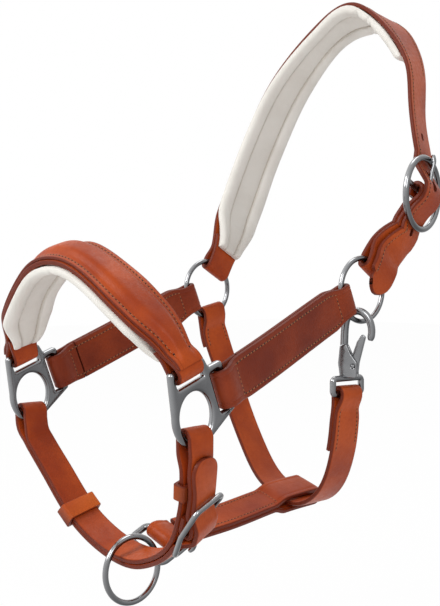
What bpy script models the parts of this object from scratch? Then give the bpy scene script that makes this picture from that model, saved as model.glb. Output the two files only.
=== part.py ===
"""Leather head halter with padded noseband and crown, cast cheek fittings and a throat snap.

Sizes and places are in millimetres of a drawing frame: x towards the horse's left (near) side,
y towards the back of the head, z up, origin midway between the two cheek fittings.
Solids are written in metres, measured from POLL, the underside of the crown lining.
"""
import math

import bmesh
import bpy
import numpy as np
from mathutils import Vector

MM = 0.001
POLL = Vector((0.0, 223.0, 250.0))

# Gaps and leather
GAP = 0.35
LEATHER = 2.8
EDGE = 0.6
LAYER_STEP = LEATHER + GAP
PINCH = 11.0

# Rings
RING_RADIUS = 19.5
RING_WIRE = 2.25
RING_PLACE = Vector((72.0, 143.0, 65.0))
LEAD_RING_PLACE = Vector((0.0, 19.5, -100.4))

# Cheek fittings, drawn in the y-z plane about the oval opening
FITTING_X = 79.0
FITTING_THICK = 4.6
FITTING_ROUND = 1.2
BAR_THICK = 4.4
OVAL_CENTRE = (0.3, -1.0)
OVAL_HALF = (11.3, 13.5)
OVAL_RIM = 5.2
SLOT_WIDTH = 5.8
NOSE_BAR = (-6.35, 24.4)
NOSE_BAR_ANGLE = math.radians(21.2)
NOSE_SLOT = 18.8
CHEEK_BAR = (21.3, 13.3)
CHEEK_BAR_ANGLE = math.radians(-69.1)
CHEEK_SLOT = 22.6
BAR_TURN = 4.5

# Strap widths, as halves
NOSE_HALF = 15.5
NOSE_END_HALF = 8.7
CHEEK_HALF = 12.5
CHEEK_END_HALF = 10.4
RING_END_HALF = 8.6
CROWN_HALF = 15.0
CROWN_END_HALF = 8.6
BILLET_HALF = 10.0
BUCKLE_STRAP_HALF = 12.0
THROAT_HALF = 11.0
SNAP_END_HALF = 9.2
JAW_HALF = 11.0
CHIN_HALF = 9.6
CHIN_END_HALF = 8.3

# Linings and the raised nose
LINING_THICK = 5.6
LINING_HALF = 17.0
CORE_HALF = 6.2
CORE_HEIGHT = 2.9
COVER_THICK = 1.7

# Crown buckle: a round frame with a middle bar
CROWN_BUCKLE_RADIUS = 22.8
CROWN_BUCKLE_WIRE = 2.25
CROWN_BAR_WIRE = 2.0
CROWN_BAR_PLACE = Vector((83.0, 188.9, 126.0))
CROWN_FACE = Vector((0.981, 0.19, -0.04))
CROWN_BAR_LINE = Vector((-0.193, 0.935, -0.299))

# Chin buckle: a rounded rectangle with a middle bar
CHIN_BAR_AT = 50.0
CHIN_BUCKLE_REACH = 17.0
CHIN_BUCKLE_HALF = 13.2
CHIN_WIRE = 2.0
TONGUE_WIRE = 1.4

# Dee under the chin
DEE_WIRE = 2.1
DEE_BAR_PLACE = Vector((-1.5, 45.0, -85.5))
DEE_BAR_LINE = Vector((0.94, 0.04, -0.34))
DEE_SIDE_LINE = Vector((0.0, -0.84, -0.54))
DEE_BETWEEN = 15.0
DEE_HALF = 15.4

# Keeper loops
KEEPER_THICK = 2.0
CHIN_KEEPER_AT = 27.0
FAR_KEEPER_AT = 70.0

# Throat snap: the hook stands in a vertical plane turned from the plane of its eye
SNAP_PLACE = Vector((72.0, 139.6, 0.0))
SNAP_TURN = math.radians(62.0)
SNAP_WIRE = 2.3
SNAP_BODY_THICK = 7.0
EYE_PLACE = Vector((66.3, 135.9, 1.0))
EYE_HALF = 13.0
EYE_HEIGHT = 9.4
EYE_WIRE = 2.0
GATE_THICK = 3.2
GATE_PIVOT = (-2.6, 18.0)
PIN_RADIUS = 1.1

# Colour, roughness and metallic of each material
MATERIALS = {
    "leather": ((0.36, 0.075, 0.026, 1.0), 0.45, 0.0),
    "leather_light": ((0.50, 0.13, 0.04, 1.0), 0.5, 0.0),
    "lining": ((0.78, 0.75, 0.68, 1.0), 0.6, 0.0),
    "filler": ((0.25, 0.2, 0.16, 1.0), 0.9, 0.0),
    "steel": ((0.42, 0.42, 0.43, 1.0), 0.22, 1.0),
}


def material(kind):
    """The Principled material of this kind, made the first time it is asked for."""
    if kind in bpy.data.materials:
        return bpy.data.materials[kind]
    colour, roughness, metallic = MATERIALS[kind]
    made = bpy.data.materials.new(kind)
    made.use_nodes = True
    shader = made.node_tree.nodes["Principled BSDF"]
    shader.inputs["Base Color"].default_value = colour
    shader.inputs["Roughness"].default_value = roughness
    shader.inputs["Metallic"].default_value = metallic
    return made


def finish(name, mesh_data, kind, origin, smooth_angle=35.0):
    """Turn a bmesh drawn in millimetres into a named object whose origin lies at the given place."""
    for vertex in mesh_data.verts:
        vertex.co = (vertex.co - origin) * MM
    bmesh.ops.recalc_face_normals(mesh_data, faces=mesh_data.faces)
    mesh = bpy.data.meshes.new(name)
    mesh_data.to_mesh(mesh)
    mesh_data.free()
    mesh.materials.append(material(kind))
    mesh.shade_smooth()
    mesh.set_sharp_from_angle(angle=math.radians(smooth_angle))
    made = bpy.data.objects.new(name, mesh)
    made.location = (origin - POLL) * MM
    bpy.context.scene.collection.objects.link(made)
    return made


def use_cutter(target, cutter, operation):
    """Cut the cutter's shape from the target, or join it on, and keep the cutter out of sight."""
    step = target.modifiers.new(operation.lower(), "BOOLEAN")
    step.operation = operation
    step.solver = "EXACT"
    step.object = cutter
    cutter.hide_render = True
    cutter.hide_viewport = False
    cutter.display_type = "WIRE"


# Flat outlines

def rounded(corners, closed):
    """Points round a run of (x, y, radius) corners, with an arc at each corner that has a radius."""
    points = []
    count = len(corners)
    for i, (x, y, radius) in enumerate(corners):
        at_end = not closed and i in (0, count - 1)
        if radius == 0.0 or at_end:
            points.append((x, y))
            continue
        corner = Vector((x, y))
        to_last = (Vector(corners[i - 1][:2]) - corner).normalized()
        to_next = (Vector(corners[(i + 1) % count][:2]) - corner).normalized()
        half_angle = math.acos(max(-1.0, min(1.0, to_last.dot(to_next)))) / 2
        middle = (to_last + to_next).normalized()
        centre = corner + middle * (radius / math.sin(half_angle))
        first = corner + to_last * (radius / math.tan(half_angle)) - centre
        last = corner + to_next * (radius / math.tan(half_angle)) - centre
        sweep_angle = math.pi - 2 * half_angle
        steps = max(1, round(math.degrees(sweep_angle) / 28))
        for step in range(steps + 1):
            share = step / steps
            blend = first * math.sin((1 - share) * sweep_angle) + last * math.sin(share * sweep_angle)
            points.append(tuple(centre + blend / math.sin(sweep_angle)))
    return points


def shifted(points, distance):
    """The closed run of points moved sideways by a distance, to the left of its direction."""
    moved = []
    count = len(points)
    for i in range(count):
        here = Vector(points[i])
        first = (here - Vector(points[i - 1])).normalized().orthogonal()
        last = (Vector(points[(i + 1) % count]) - here).normalized().orthogonal()
        side = (first + last).normalized()
        moved.append(tuple(here + side * (distance / side.dot(first))))
    return moved


def oval(centre, half, start, stop, steps):
    """Points on an upright ellipse from one angle to another, in degrees."""
    angles = [math.radians(start + (stop - start) * i / steps) for i in range(steps + 1)]
    return [(centre[0] + half[0] * math.cos(a), centre[1] + half[1] * math.sin(a)) for a in angles]


def anticlockwise(points):
    """The same closed outline, turning anticlockwise."""
    area = sum(a[0] * b[1] - b[0] * a[1] for a, b in zip(points, points[1:] + points[:1]))
    return points if area > 0 else points[::-1]


def draw_out(mesh_data, last, edges, places):
    """Extrude a loop of edges and move its new points to the given places."""
    drawn = bmesh.ops.extrude_edge_only(mesh_data, edges=edges)["geom"]
    fresh = {tuple(item.co): item for item in drawn if isinstance(item, bmesh.types.BMVert)}
    last = [fresh[tuple(vertex.co)] for vertex in last]
    for vertex, place in zip(last, places):
        vertex.co = place
    return last, [item for item in drawn if isinstance(item, bmesh.types.BMEdge)]


def plate(name, outline, holes, thickness, rounding, to_space, kind, origin, between=()):
    """A plate with holes and rounded edges; to_space turns (across, up, height) into a place."""
    mesh_data = bmesh.new()
    loops = [(anticlockwise(outline), 1.0)] + [(anticlockwise(hole), -1.0) for hole in holes]
    soft = rounding * (1 - math.sqrt(0.5))
    half = thickness / 2
    profile = [(rounding, -half), (soft, -half + soft), (0.0, -half + rounding)]
    profile += [(0.0, height) for height in between]
    profile += [(0.0, half - rounding), (soft, half - soft), (rounding, half)]
    faces_edges = {0: [], len(profile) - 1: []}
    for points, inward in loops:
        start = [mesh_data.verts.new(to_space(x, y, profile[0][1]))
                 for x, y in shifted(points, profile[0][0] * inward)]
        edges = [mesh_data.edges.new((a, b)) for a, b in zip(start, start[1:] + start[:1])]
        faces_edges[0] += edges
        last = start
        for inset, height in profile[1:]:
            places = [to_space(x, y, height) for x, y in shifted(points, inset * inward)]
            last, edges = draw_out(mesh_data, last, edges, places)
        faces_edges[len(profile) - 1] += edges
    for edges in faces_edges.values():
        bmesh.ops.triangle_fill(mesh_data, edges=edges, use_beauty=True)
    return finish(name, mesh_data, kind, origin)


# Lines through space

def natural_curve(rows, step):
    """Rows about one step apart on the natural cubic curve through the given rows of numbers."""
    rows = np.array(rows, float)
    chords = np.linalg.norm(np.diff(rows[:, :3], axis=0), axis=1)
    count = len(rows)
    system = np.eye(count)
    target = np.zeros_like(rows)
    for i in range(1, count - 1):
        before, after = chords[i - 1], chords[i]
        system[i, i - 1:i + 2] = before, 2 * (before + after), after
        target[i] = 6 * ((rows[i + 1] - rows[i]) / after - (rows[i] - rows[i - 1]) / before)
    bend = np.linalg.solve(system, target)
    fine = [rows[0]]
    for i, chord in enumerate(chords):
        steps = max(2, round(chord / step))
        for j in range(1, steps + 1):
            b = j / steps
            a = 1 - b
            curved = ((a ** 3 - a) * bend[i] + (b ** 3 - b) * bend[i + 1]) * chord ** 2 / 6
            fine.append(a * rows[i] + b * rows[i + 1] + curved)
    return [tuple(float(value) for value in row) for row in fine]


class Route:
    """A line through places, with the strap's width direction along it and an outward side."""

    def __init__(self, rows, side=1.0):
        self.places = [Vector(row[:3]) for row in rows]
        self.widths = [Vector(row[3:]) for row in rows]
        self.side = side
        self.runs = [0.0]
        for a, b in zip(self.places, self.places[1:]):
            self.runs.append(self.runs[-1] + (b - a).length)
        self.length = self.runs[-1]

    def place_and_width(self, s):
        """Place and width direction at distance s; past either end the line goes on straight."""
        i = 0
        while i < len(self.runs) - 2 and self.runs[i + 1] < s:
            i += 1
        share = (s - self.runs[i]) / (self.runs[i + 1] - self.runs[i])
        kept = max(0.0, min(1.0, share))
        place = self.places[i] + (self.places[i + 1] - self.places[i]) * share
        return place, self.widths[i] + (self.widths[i + 1] - self.widths[i]) * kept

    def frame(self, s):
        """Place, direction, width direction and outward normal at distance s."""
        place, width = self.place_and_width(s)
        ahead = self.place_and_width(s + 1.0)[0] - self.place_and_width(s - 1.0)[0]
        ahead.normalize()
        normal = width.cross(ahead).normalized() * self.side
        width = (width - ahead * width.dot(ahead)).normalized()
        return place, ahead, width, normal

    def off(self, s, height, across=0.0):
        """The place at distance s, raised along the normal and moved across the width."""
        place, _, width, normal = self.frame(s)
        return place + normal * height + width * across


def mirrored(rows):
    """The same rows on the other side of the head."""
    return [(-x, y, z, -wx, wy, wz) for x, y, z, wx, wy, wz in rows]


def ease(share):
    """One at zero and below, zero at one and above, smooth between."""
    share = max(0.0, min(1.0, share))
    return (1 + math.cos(math.pi * share)) / 2


def blend(share, first, last):
    """A smooth change from the first value to the last as the share goes from 0 to 1."""
    return last + (first - last) * ease(share)


def spaced(start, stop, step):
    """Distances from start to stop, about one step apart."""
    count = max(1, round(abs(stop - start) / step))
    return [start + (stop - start) * i / count for i in range(count + 1)]


def graded(marks, end):
    """Distances that change step at each (start, step) mark, up to the end."""
    stops = []
    for i, (start, step) in enumerate(marks):
        stop = marks[i + 1][0] if i + 1 < len(marks) else end
        if stop - start > 0.01:
            stops += spaced(start, stop, step)[bool(stops):]
    return stops


# Straps

def section(half, low, high, edge=EDGE):
    """Eight (across, height) points of a strap's section, its corners cut by the edge."""
    return [
        (half, high - edge), (half - edge, high), (edge - half, high), (-half, high - edge),
        (-half, low + edge), (edge - half, low), (half - edge, low), (half, low + edge),
    ]


def sweep(name, rings, kind, origin=POLL, smooth_angle=35.0):
    """A closed body drawn out through rings of points that have the same count."""
    mesh_data = bmesh.new()
    last = [mesh_data.verts.new(point) for point in rings[0]]
    mesh_data.faces.new(last)
    edges = mesh_data.edges[:]
    for ring in rings[1:]:
        last, edges = draw_out(mesh_data, last, edges, ring)
    mesh_data.faces.new(last)
    return finish(name, mesh_data, kind, origin, smooth_angle)


def ribbon(name, path, kind="leather", thickness=LEATHER):
    """A strap of even thickness along (place, width direction, half width) steps."""
    rings = []
    for i, (place, width, half) in enumerate(path):
        ahead = path[min(i + 1, len(path) - 1)][0] - path[max(i - 1, 0)][0]
        normal = width.cross(ahead).normalized()
        across = ahead.cross(normal).normalized()
        shape = section(half, -thickness / 2, thickness / 2, min(EDGE, 0.3 * thickness))
        rings.append([place + across * a + normal * b for a, b in shape])
    return sweep(name, rings, kind)


def layer(route, stops, height, half):
    """Path steps at these distances along a route; height and half are functions of the distance."""
    return [(route.off(s, height(s)), route.frame(s)[2], half(s)) for s in stops]


def turn(route, s, ahead_sign, centre_height, radius, half, from_outside):
    """Half a turn round a bar that lies across the route at distance s."""
    place, ahead, width, normal = route.frame(s)
    centre = place + normal * centre_height
    start = normal if from_outside else -normal
    path = []
    for i in range(1, 6):
        angle = math.pi * i / 6
        reach = start * math.cos(angle) + ahead * (ahead_sign * math.sin(angle))
        path.append((centre + reach * radius, width, half))
    return path


class Loop:
    """How a strap turns round a bar: bend radius, straight part kept open, tail length."""

    def __init__(self, radius, hold, tail, half):
        self.radius = radius
        self.hold = hold
        self.tail = tail
        self.half = half

    def spread(self, distance, settled):
        """Distance of a layer from the strap's middle line, this far from the bar."""
        return blend((distance - self.hold) / PINCH, self.radius, settled)


class Fold:
    """A strip laid along a route with its ends turned back: outer run and inner tails."""

    def __init__(self, route, first, last, half, taper, outer_to, inner_to):
        self.route = route
        self.first = first
        self.last = last
        self.half = half
        self.taper = taper
        self.outer_to = outer_to
        self.inner_to = inner_to

    def spread(self, s, settled):
        """How far a layer stands from the route at distance s."""
        opened = settled
        if self.first:
            opened = max(opened, self.first.spread(s, settled))
        if self.last:
            opened = max(opened, self.last.spread(self.route.length - s, settled))
        return opened

    def outer(self, s):
        """Height of the outer run."""
        return self.spread(s, self.outer_to)

    def inner(self, s):
        """Height of the tails."""
        return -self.spread(s, self.inner_to)

    def width(self, s):
        """Half width of the strap, narrower at a loop."""
        narrow = self.half
        if self.first:
            narrow = min(narrow, blend((s - self.first.hold) / self.taper, self.first.half, self.half))
        if self.last:
            near_end = self.route.length - s - self.last.hold
            narrow = min(narrow, blend(near_end / self.taper, self.last.half, self.half))
        return narrow

    def stops(self, step):
        """Distances along the whole strap, close together where the layers part."""
        marks = [(0.0, step)]
        if self.first:
            marks = [(0.0, 5.0), (self.first.hold, PINCH / 4), (self.first.hold + PINCH, step)]
        end = self.route.length
        if self.last:
            marks += [(end - self.last.hold - PINCH, PINCH / 4), (end - self.last.hold, 5.0)]
        return graded(marks, end)

    def path(self, step):
        """Steps of the whole strip: tail, turn, outer run, turn, tail."""
        route = self.route
        stops = self.stops(step)
        steps = []
        if self.first:
            tail = [s for s in stops if s < self.first.tail - 1.0] + [self.first.tail]
            steps += layer(route, tail[::-1], self.inner, self.width)
            steps += turn(route, 0.0, -1.0, 0.0, self.first.radius, self.first.half, False)
        steps += layer(route, stops, self.outer, self.width)
        if self.last:
            start = route.length - self.last.tail
            steps += turn(route, route.length, 1.0, 0.0, self.last.radius, self.last.half, True)
            tail = [start] + [s for s in stops if s > start + 1.0]
            steps += layer(route, tail[::-1], self.inner, self.width)
        return steps


def ring_turn(angle, half, x_sign, out=0.0):
    """Where a strap of this half width turns on an upper ring, at this angle in the y-z plane."""
    reach = math.sqrt(RING_RADIUS ** 2 - half ** 2) - 0.6 + out
    a = math.radians(angle)
    return (
        x_sign * RING_PLACE.x,
        RING_PLACE.y + reach * math.cos(a),
        RING_PLACE.z + reach * math.sin(a),
    )


def ring_loop(half, tail):
    """The loop of a strap round an upper ring's wire."""
    hold = RING_RADIUS - (math.sqrt(RING_RADIUS ** 2 - half ** 2) - 0.6)
    return Loop(RING_WIRE + GAP + LEATHER / 2, hold, tail, half)


# Hardware

def torus(name, centre, axis, radius, wire, kind="steel", steps=32, sides=10):
    """A ring of round wire."""
    mesh_data = bmesh.new()
    side = axis.orthogonal().normalized()
    middle = centre + side * radius
    round_wire = bmesh.ops.create_circle(mesh_data, segments=sides, radius=wire)["verts"]
    for vertex in round_wire:
        vertex.co = middle + side * vertex.co.x + axis * vertex.co.y
    bmesh.ops.spin(
        mesh_data, geom=round_wire + mesh_data.edges[:], cent=centre, axis=axis,
        angle=2 * math.pi, steps=steps, use_merge=True,
    )
    bmesh.ops.remove_doubles(mesh_data, verts=mesh_data.verts, dist=0.01)
    return finish(name, mesh_data, kind, centre)


def tube_rings(points, radii, closed, sides, up):
    """Rings of round section along a run of points, kept square to it."""
    rings = []
    count = len(points)
    for i, point in enumerate(points):
        before = points[i - 1] if closed or i > 0 else point
        after = points[(i + 1) % count] if closed or i < count - 1 else point
        ahead = (after - before).normalized()
        across = ahead.cross(up).normalized()
        rise = across.cross(ahead)
        rings.append([
            point + (across * math.cos(a) + rise * math.sin(a)) * radii[i]
            for a in [2 * math.pi * j / sides for j in range(sides)]
        ])
    return rings


def closed_wire(name, points, wire, up, origin, sides=10):
    """A closed loop of round wire; up is square to the plane that the loop lies in."""
    mesh_data = bmesh.new()
    rings = tube_rings(points, [wire] * len(points), True, sides, up)
    edges = []
    for ring in rings:
        corners = [mesh_data.verts.new(point) for point in ring]
        edges.append([mesh_data.edges.new((a, b)) for a, b in zip(corners, corners[1:] + corners[:1])])
    for here, after in zip(edges, edges[1:] + edges[:1]):
        bmesh.ops.bridge_loops(mesh_data, edges=here + after)
    return finish(name, mesh_data, "steel", origin)


def rod(name, start, stop, radius, kind="steel", sides=14, origin=None):
    """A straight round bar."""
    up = (stop - start).orthogonal().normalized()
    rings = tube_rings([start, stop], [radius, radius], False, sides, up)
    return sweep(name, rings, kind, origin if origin is not None else (start + stop) / 2)


def tongue(name, centre, ahead, outward, bar_wire, reach, rest, origin):
    """A buckle tongue: an eye bent round the bar, an arm and a tip that rests on the rim."""
    eye = bar_wire + GAP + TONGUE_WIRE
    flat = []
    for i in range(15):
        angle = math.radians(-235.0 + 325.0 * i / 14)
        flat.append((eye * math.cos(angle), eye * math.sin(angle)))
    flat = flat + [(reach * 0.35, (eye + rest) / 2), (reach * 0.75, rest), (reach, rest), (reach + 3.2, rest - 1.3)]
    points = [centre + ahead * a + outward * b for a, b in flat]
    radii = [TONGUE_WIRE] * (len(points) - 1) + [TONGUE_WIRE * 0.6]
    rings = tube_rings(points, radii, False, 10, ahead.cross(outward))
    return sweep(name, rings, "steel", origin)


def keeper(name, route, s, thick_low, thick_high, half, width):
    """A leather band round the layers of a strap."""
    place = route.off(s, (thick_low + thick_high) / 2)
    inner = [
        (half + GAP, thick_low - GAP, 0.0), (half + GAP, thick_high + GAP, 0.0),
        (-half - GAP, thick_high + GAP, 0.0), (-half - GAP, thick_low - GAP, 0.0),
    ]
    outer = []
    for x, y, _ in inner:
        outer.append((x + math.copysign(KEEPER_THICK, x), y + math.copysign(KEEPER_THICK, y - (thick_low + thick_high) / 2), 1.6))

    def to_space(a, b, height):
        return route.off(s + height, b, a)

    return plate(name, rounded(outer, True), [rounded(inner, True)], width, 0.4, to_space, "leather_light", place, (0.0,))


def clear_scene():
    """Take every object out of the start scene."""
    for item in list(bpy.data.objects):
        bpy.data.objects.remove(item, do_unlink=True)


# Cheek fittings

def bar_point(bar, angle, along, across):
    """A place beside a bar of the fitting: along it and away from the oval."""
    c, s = math.cos(angle), math.sin(angle)
    return bar[0] + along * c - across * s, bar[1] + along * s + across * c


def fitting_outline():
    """The outer edge of a cheek fitting in the y-z plane."""
    half = BAR_THICK / 2
    rim = (OVAL_HALF[0] + OVAL_RIM, OVAL_HALF[1] + OVAL_RIM)
    corners = [
        (*bar_point(NOSE_BAR, NOSE_BAR_ANGLE, -NOSE_SLOT / 2 - 3.9, half), 3.0),
        (*bar_point(NOSE_BAR, NOSE_BAR_ANGLE, NOSE_SLOT / 2 + 3.2, half), 3.0),
        (8.6, 25.2, 1.0),
        (*bar_point(CHEEK_BAR, CHEEK_BAR_ANGLE, -CHEEK_SLOT / 2 - 4.2, half), 2.6),
        (*bar_point(CHEEK_BAR, CHEEK_BAR_ANGLE, CHEEK_SLOT / 2 + 3.2, half), 3.0),
    ]
    corners += [(y, z, 0.0) for y, z in oval(OVAL_CENTRE, rim, -42.0, -180.0, 11)]
    return rounded(corners, True)


def fitting_slot(bar, angle, length):
    """The slot beside a bar, on the oval's side."""
    near, far = -BAR_THICK / 2, -BAR_THICK / 2 - SLOT_WIDTH
    corners = [
        (*bar_point(bar, angle, -length / 2, near), 0.9), (*bar_point(bar, angle, length / 2, near), 0.9),
        (*bar_point(bar, angle, length / 2, far), 0.9), (*bar_point(bar, angle, -length / 2, far), 0.9),
    ]
    return rounded(corners, True)


def cheek_fitting(name, x_sign):
    """A cast fitting with an oval opening and two strap slots."""
    holes = [
        oval(OVAL_CENTRE, OVAL_HALF, 0.0, 347.0, 27),
        fitting_slot(NOSE_BAR, NOSE_BAR_ANGLE, NOSE_SLOT),
        fitting_slot(CHEEK_BAR, CHEEK_BAR_ANGLE, CHEEK_SLOT),
    ]
    centre = Vector((x_sign * FITTING_X, *OVAL_CENTRE))

    def to_space(y, z, height):
        return Vector((x_sign * FITTING_X + height, y, z))

    return plate(name, fitting_outline(), holes, FITTING_THICK, FITTING_ROUND, to_space, "steel", centre)


# Cheek straps

def cheek_rows():
    """Near cheek strap from the fitting's bar to the upper ring."""
    bar_line = (0.0, math.cos(CHEEK_BAR_ANGLE), math.sin(CHEEK_BAR_ANGLE))
    a = math.radians(203.0)
    ring_line = (0.0, -math.sin(a), math.cos(a))
    end = ring_turn(203.0, RING_END_HALF, 1.0)
    before = ring_turn(203.0, RING_END_HALF, 1.0, 14.0)
    return [
        (FITTING_X, *CHEEK_BAR, *bar_line),
        (FITTING_X - 0.6, CHEEK_BAR[0] + 13.0, CHEEK_BAR[1] + 5.2, *bar_line),
        (before[0] + 0.6, before[1], before[2], *ring_line),
        (*end, *ring_line),
    ]


def cheek_strap(name, x_sign):
    rows = natural_curve(cheek_rows(), 4.0)
    route = Route(rows, 1.0) if x_sign > 0 else Route(mirrored(rows), -1.0)
    at_bar = Loop(BAR_TURN, 0.5, 34.0, CHEEK_END_HALF)
    at_ring = ring_loop(RING_END_HALF, 72.0)
    strap = Fold(route, at_bar, at_ring, CHEEK_HALF, 15.0, LAYER_STEP / 2, LAYER_STEP / 2)
    return ribbon(name, strap.path(20.0))


def noseband_route():
    """The noseband's middle line, from the near fitting's bar over the nose to the far one."""
    half_way = [
        (FITTING_X, *NOSE_BAR, 0.0, math.cos(NOSE_BAR_ANGLE), math.sin(NOSE_BAR_ANGLE)),
        (76.4, -9.0, 31.6, -0.05, 0.94, 0.34),
        (70.0, -12.2, 42.0, -0.08, 0.95, 0.3),
        (59.6, -16.4, 53.0, -0.05, 0.96, 0.27),
        (47.8, -19.9, 63.4, 0.02, 0.96, 0.28),
        (33.0, -22.4, 73.6, 0.0, 0.97, 0.24),
        (17.4, -24.4, 81.8, 0.0, 0.97, 0.26),
    ]
    apex = [(0.0, -25.0, 85.4, 0.0, 0.95, 0.32)]
    return Route(natural_curve(half_way + apex + mirrored(half_way)[::-1], 4.0))


def cover_section(half, low, thick, arch):
    """Section of the raised cover: flat edges, and a ridge over the filler."""
    top = low + thick
    over = CORE_HEIGHT + 2 * GAP
    right = [
        (1.0, low + 0.5, 0.0), (0.96, top, 0.0), (0.67, top, 0.05), (0.53, top, 0.6),
        (0.32, top, 0.93), (0.0, top, 1.03),
    ]
    inner = [(0.0, low, 1.0), (0.34, low, 0.97), (0.5, low, 0.66), (0.57, low, 0.0), (0.96, low, 0.0)]
    outline = [(half * a, b + over * c * arch) for a, b, c in right]
    outline += [(-half * a, b + over * c * arch) for a, b, c in right[-2::-1]]
    outline += [(-half * a, b + over * c * arch) for a, b, c in inner[::-1]]
    outline += [(half * a, b + over * c * arch) for a, b, c in inner[1:]]
    return outline


def lining_section(half, top, thick):
    """Section of a padded lining: a roll along each edge and a flatter channel between two seams."""
    right = [
        (0.0, 0.76), (0.17, 0.74), (0.33, 0.6), (0.45, 0.84), (0.62, 1.0),
        (0.8, 0.97), (0.93, 0.78), (1.0, 0.42),
    ]
    outline = [(half * a, top - thick * b) for a, b in right]
    outline += [(half * 0.97, top), (-half * 0.97, top)]
    outline += [(-half * a, top - thick * b) for a, b in right[:0:-1]]
    return outline


def along(route, stops, outline):
    """Rings of points, last distance first; outline gives their (across, height) points.

    Drawn from the far end, so that a twisted face gets the same diagonals as the strap beside it.
    """
    rings = []
    for s in reversed(stops):
        place, _, width, normal = route.frame(s)
        rings.append([place + width * a + normal * b for a, b in outline(s)])
    return rings


def lean(height, s):
    """How much thicker a sloping layer stands, measured along the route's normal."""
    return math.hypot(1.0, height(s + 0.5) - height(s - 0.5))


def lining(name, route, stops, start, stop, top):
    """A padded lining under a strap, rounded off at both ends."""
    def outline(s):
        end = min(s - start, stop - s)
        full = math.sqrt(1 - (1 - min(1.0, (end + 1.2) / 7.0)) ** 2)
        return lining_section(LINING_HALF * (0.8 + 0.2 * full), top(s), LINING_THICK * (0.35 + 0.65 * full))

    ends = 6.0
    shared = [s for s in stops if start + ends + 1.0 < s < stop - ends - 1.0]
    places = spaced(start, start + ends, 2.0) + shared + spaced(stop - ends, stop, 2.0)
    return sweep(name, along(route, places, outline), "lining", smooth_angle=50.0)


def noseband():
    """The noseband: base strap, filler, raised cover and padded lining."""
    route = noseband_route()
    loop = Loop(BAR_TURN, 0.5, 15.0, NOSE_END_HALF)
    base = Fold(route, loop, loop, NOSE_HALF, 26.0, 0.0, LAYER_STEP)
    step = 7.5
    stops = base.stops(step)
    ribbon("noseband_strap", base.path(step))

    def near_end(s):
        return min(s, route.length - s)

    def arch(s):
        return 1 - ease((near_end(s) - 6.0) / 20.0)

    def top_side(s):
        return base.outer(s) + (LEATHER / 2 + GAP) * lean(base.outer, s)

    def cover(s):
        return cover_section(base.width(s) - 1.0, top_side(s), COVER_THICK * lean(base.outer, s), arch(s))

    def core(s):
        high = CORE_HEIGHT * arch(s)
        half = CORE_HALF * (base.width(s) / NOSE_HALF)
        return section(half, top_side(s), top_side(s) + high, 0.45 * high)

    def under(s):
        tail_end = near_end(s) - loop.tail - 1.0
        return -LEATHER / 2 - 2 * GAP - LAYER_STEP * ease(tail_end / 8.0)

    sweep("noseband_cover", along(route, stops[1:-1], cover), "leather", smooth_angle=50.0)
    padded = [s for s in stops if near_end(s) > 18.0]
    sweep("noseband_filler", along(route, padded, core), "filler")
    lining("noseband_lining", route, stops, 10.0, route.length - 10.0, under)


# Crown, crown buckle and buckle strap

def crown_axes():
    """Upward and outward directions of the crown buckle and the line of its bar."""
    out = CROWN_FACE.normalized()
    line = (CROWN_BAR_LINE - out * CROWN_BAR_LINE.dot(out)).normalized()
    return out.cross(line), out, line


def crown_local(rows, width):
    """Rows in the buckle's own (up, out) plane turned into route rows."""
    up, out, _ = crown_axes()
    return [tuple(CROWN_BAR_PLACE + up * a + out * b) + tuple(width) for a, b in rows]


def buckle_strap_route():
    """Middle line of the two layers between the crown buckle's bar and the near ring."""
    _, _, line = crown_axes()
    bent = rounded([(0.0, 0.0, 0.0), (-3.5, 0.0, 5.0), (-17.5, -9.3, 7.0), (-27.0, -10.2, 0.0)], False)
    down = crown_local(bent, line)
    a = math.radians(53.0)
    ring_line = (0.0, math.sin(a), -math.cos(a))
    lower = natural_curve([
        down[-1],
        (*ring_turn(53.0, RING_END_HALF, 1.0, 14.0), *ring_line),
        (*ring_turn(53.0, RING_END_HALF, 1.0), *ring_line),
    ], 4.0)
    return Route(down[:-1] + lower, -1.0)


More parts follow.
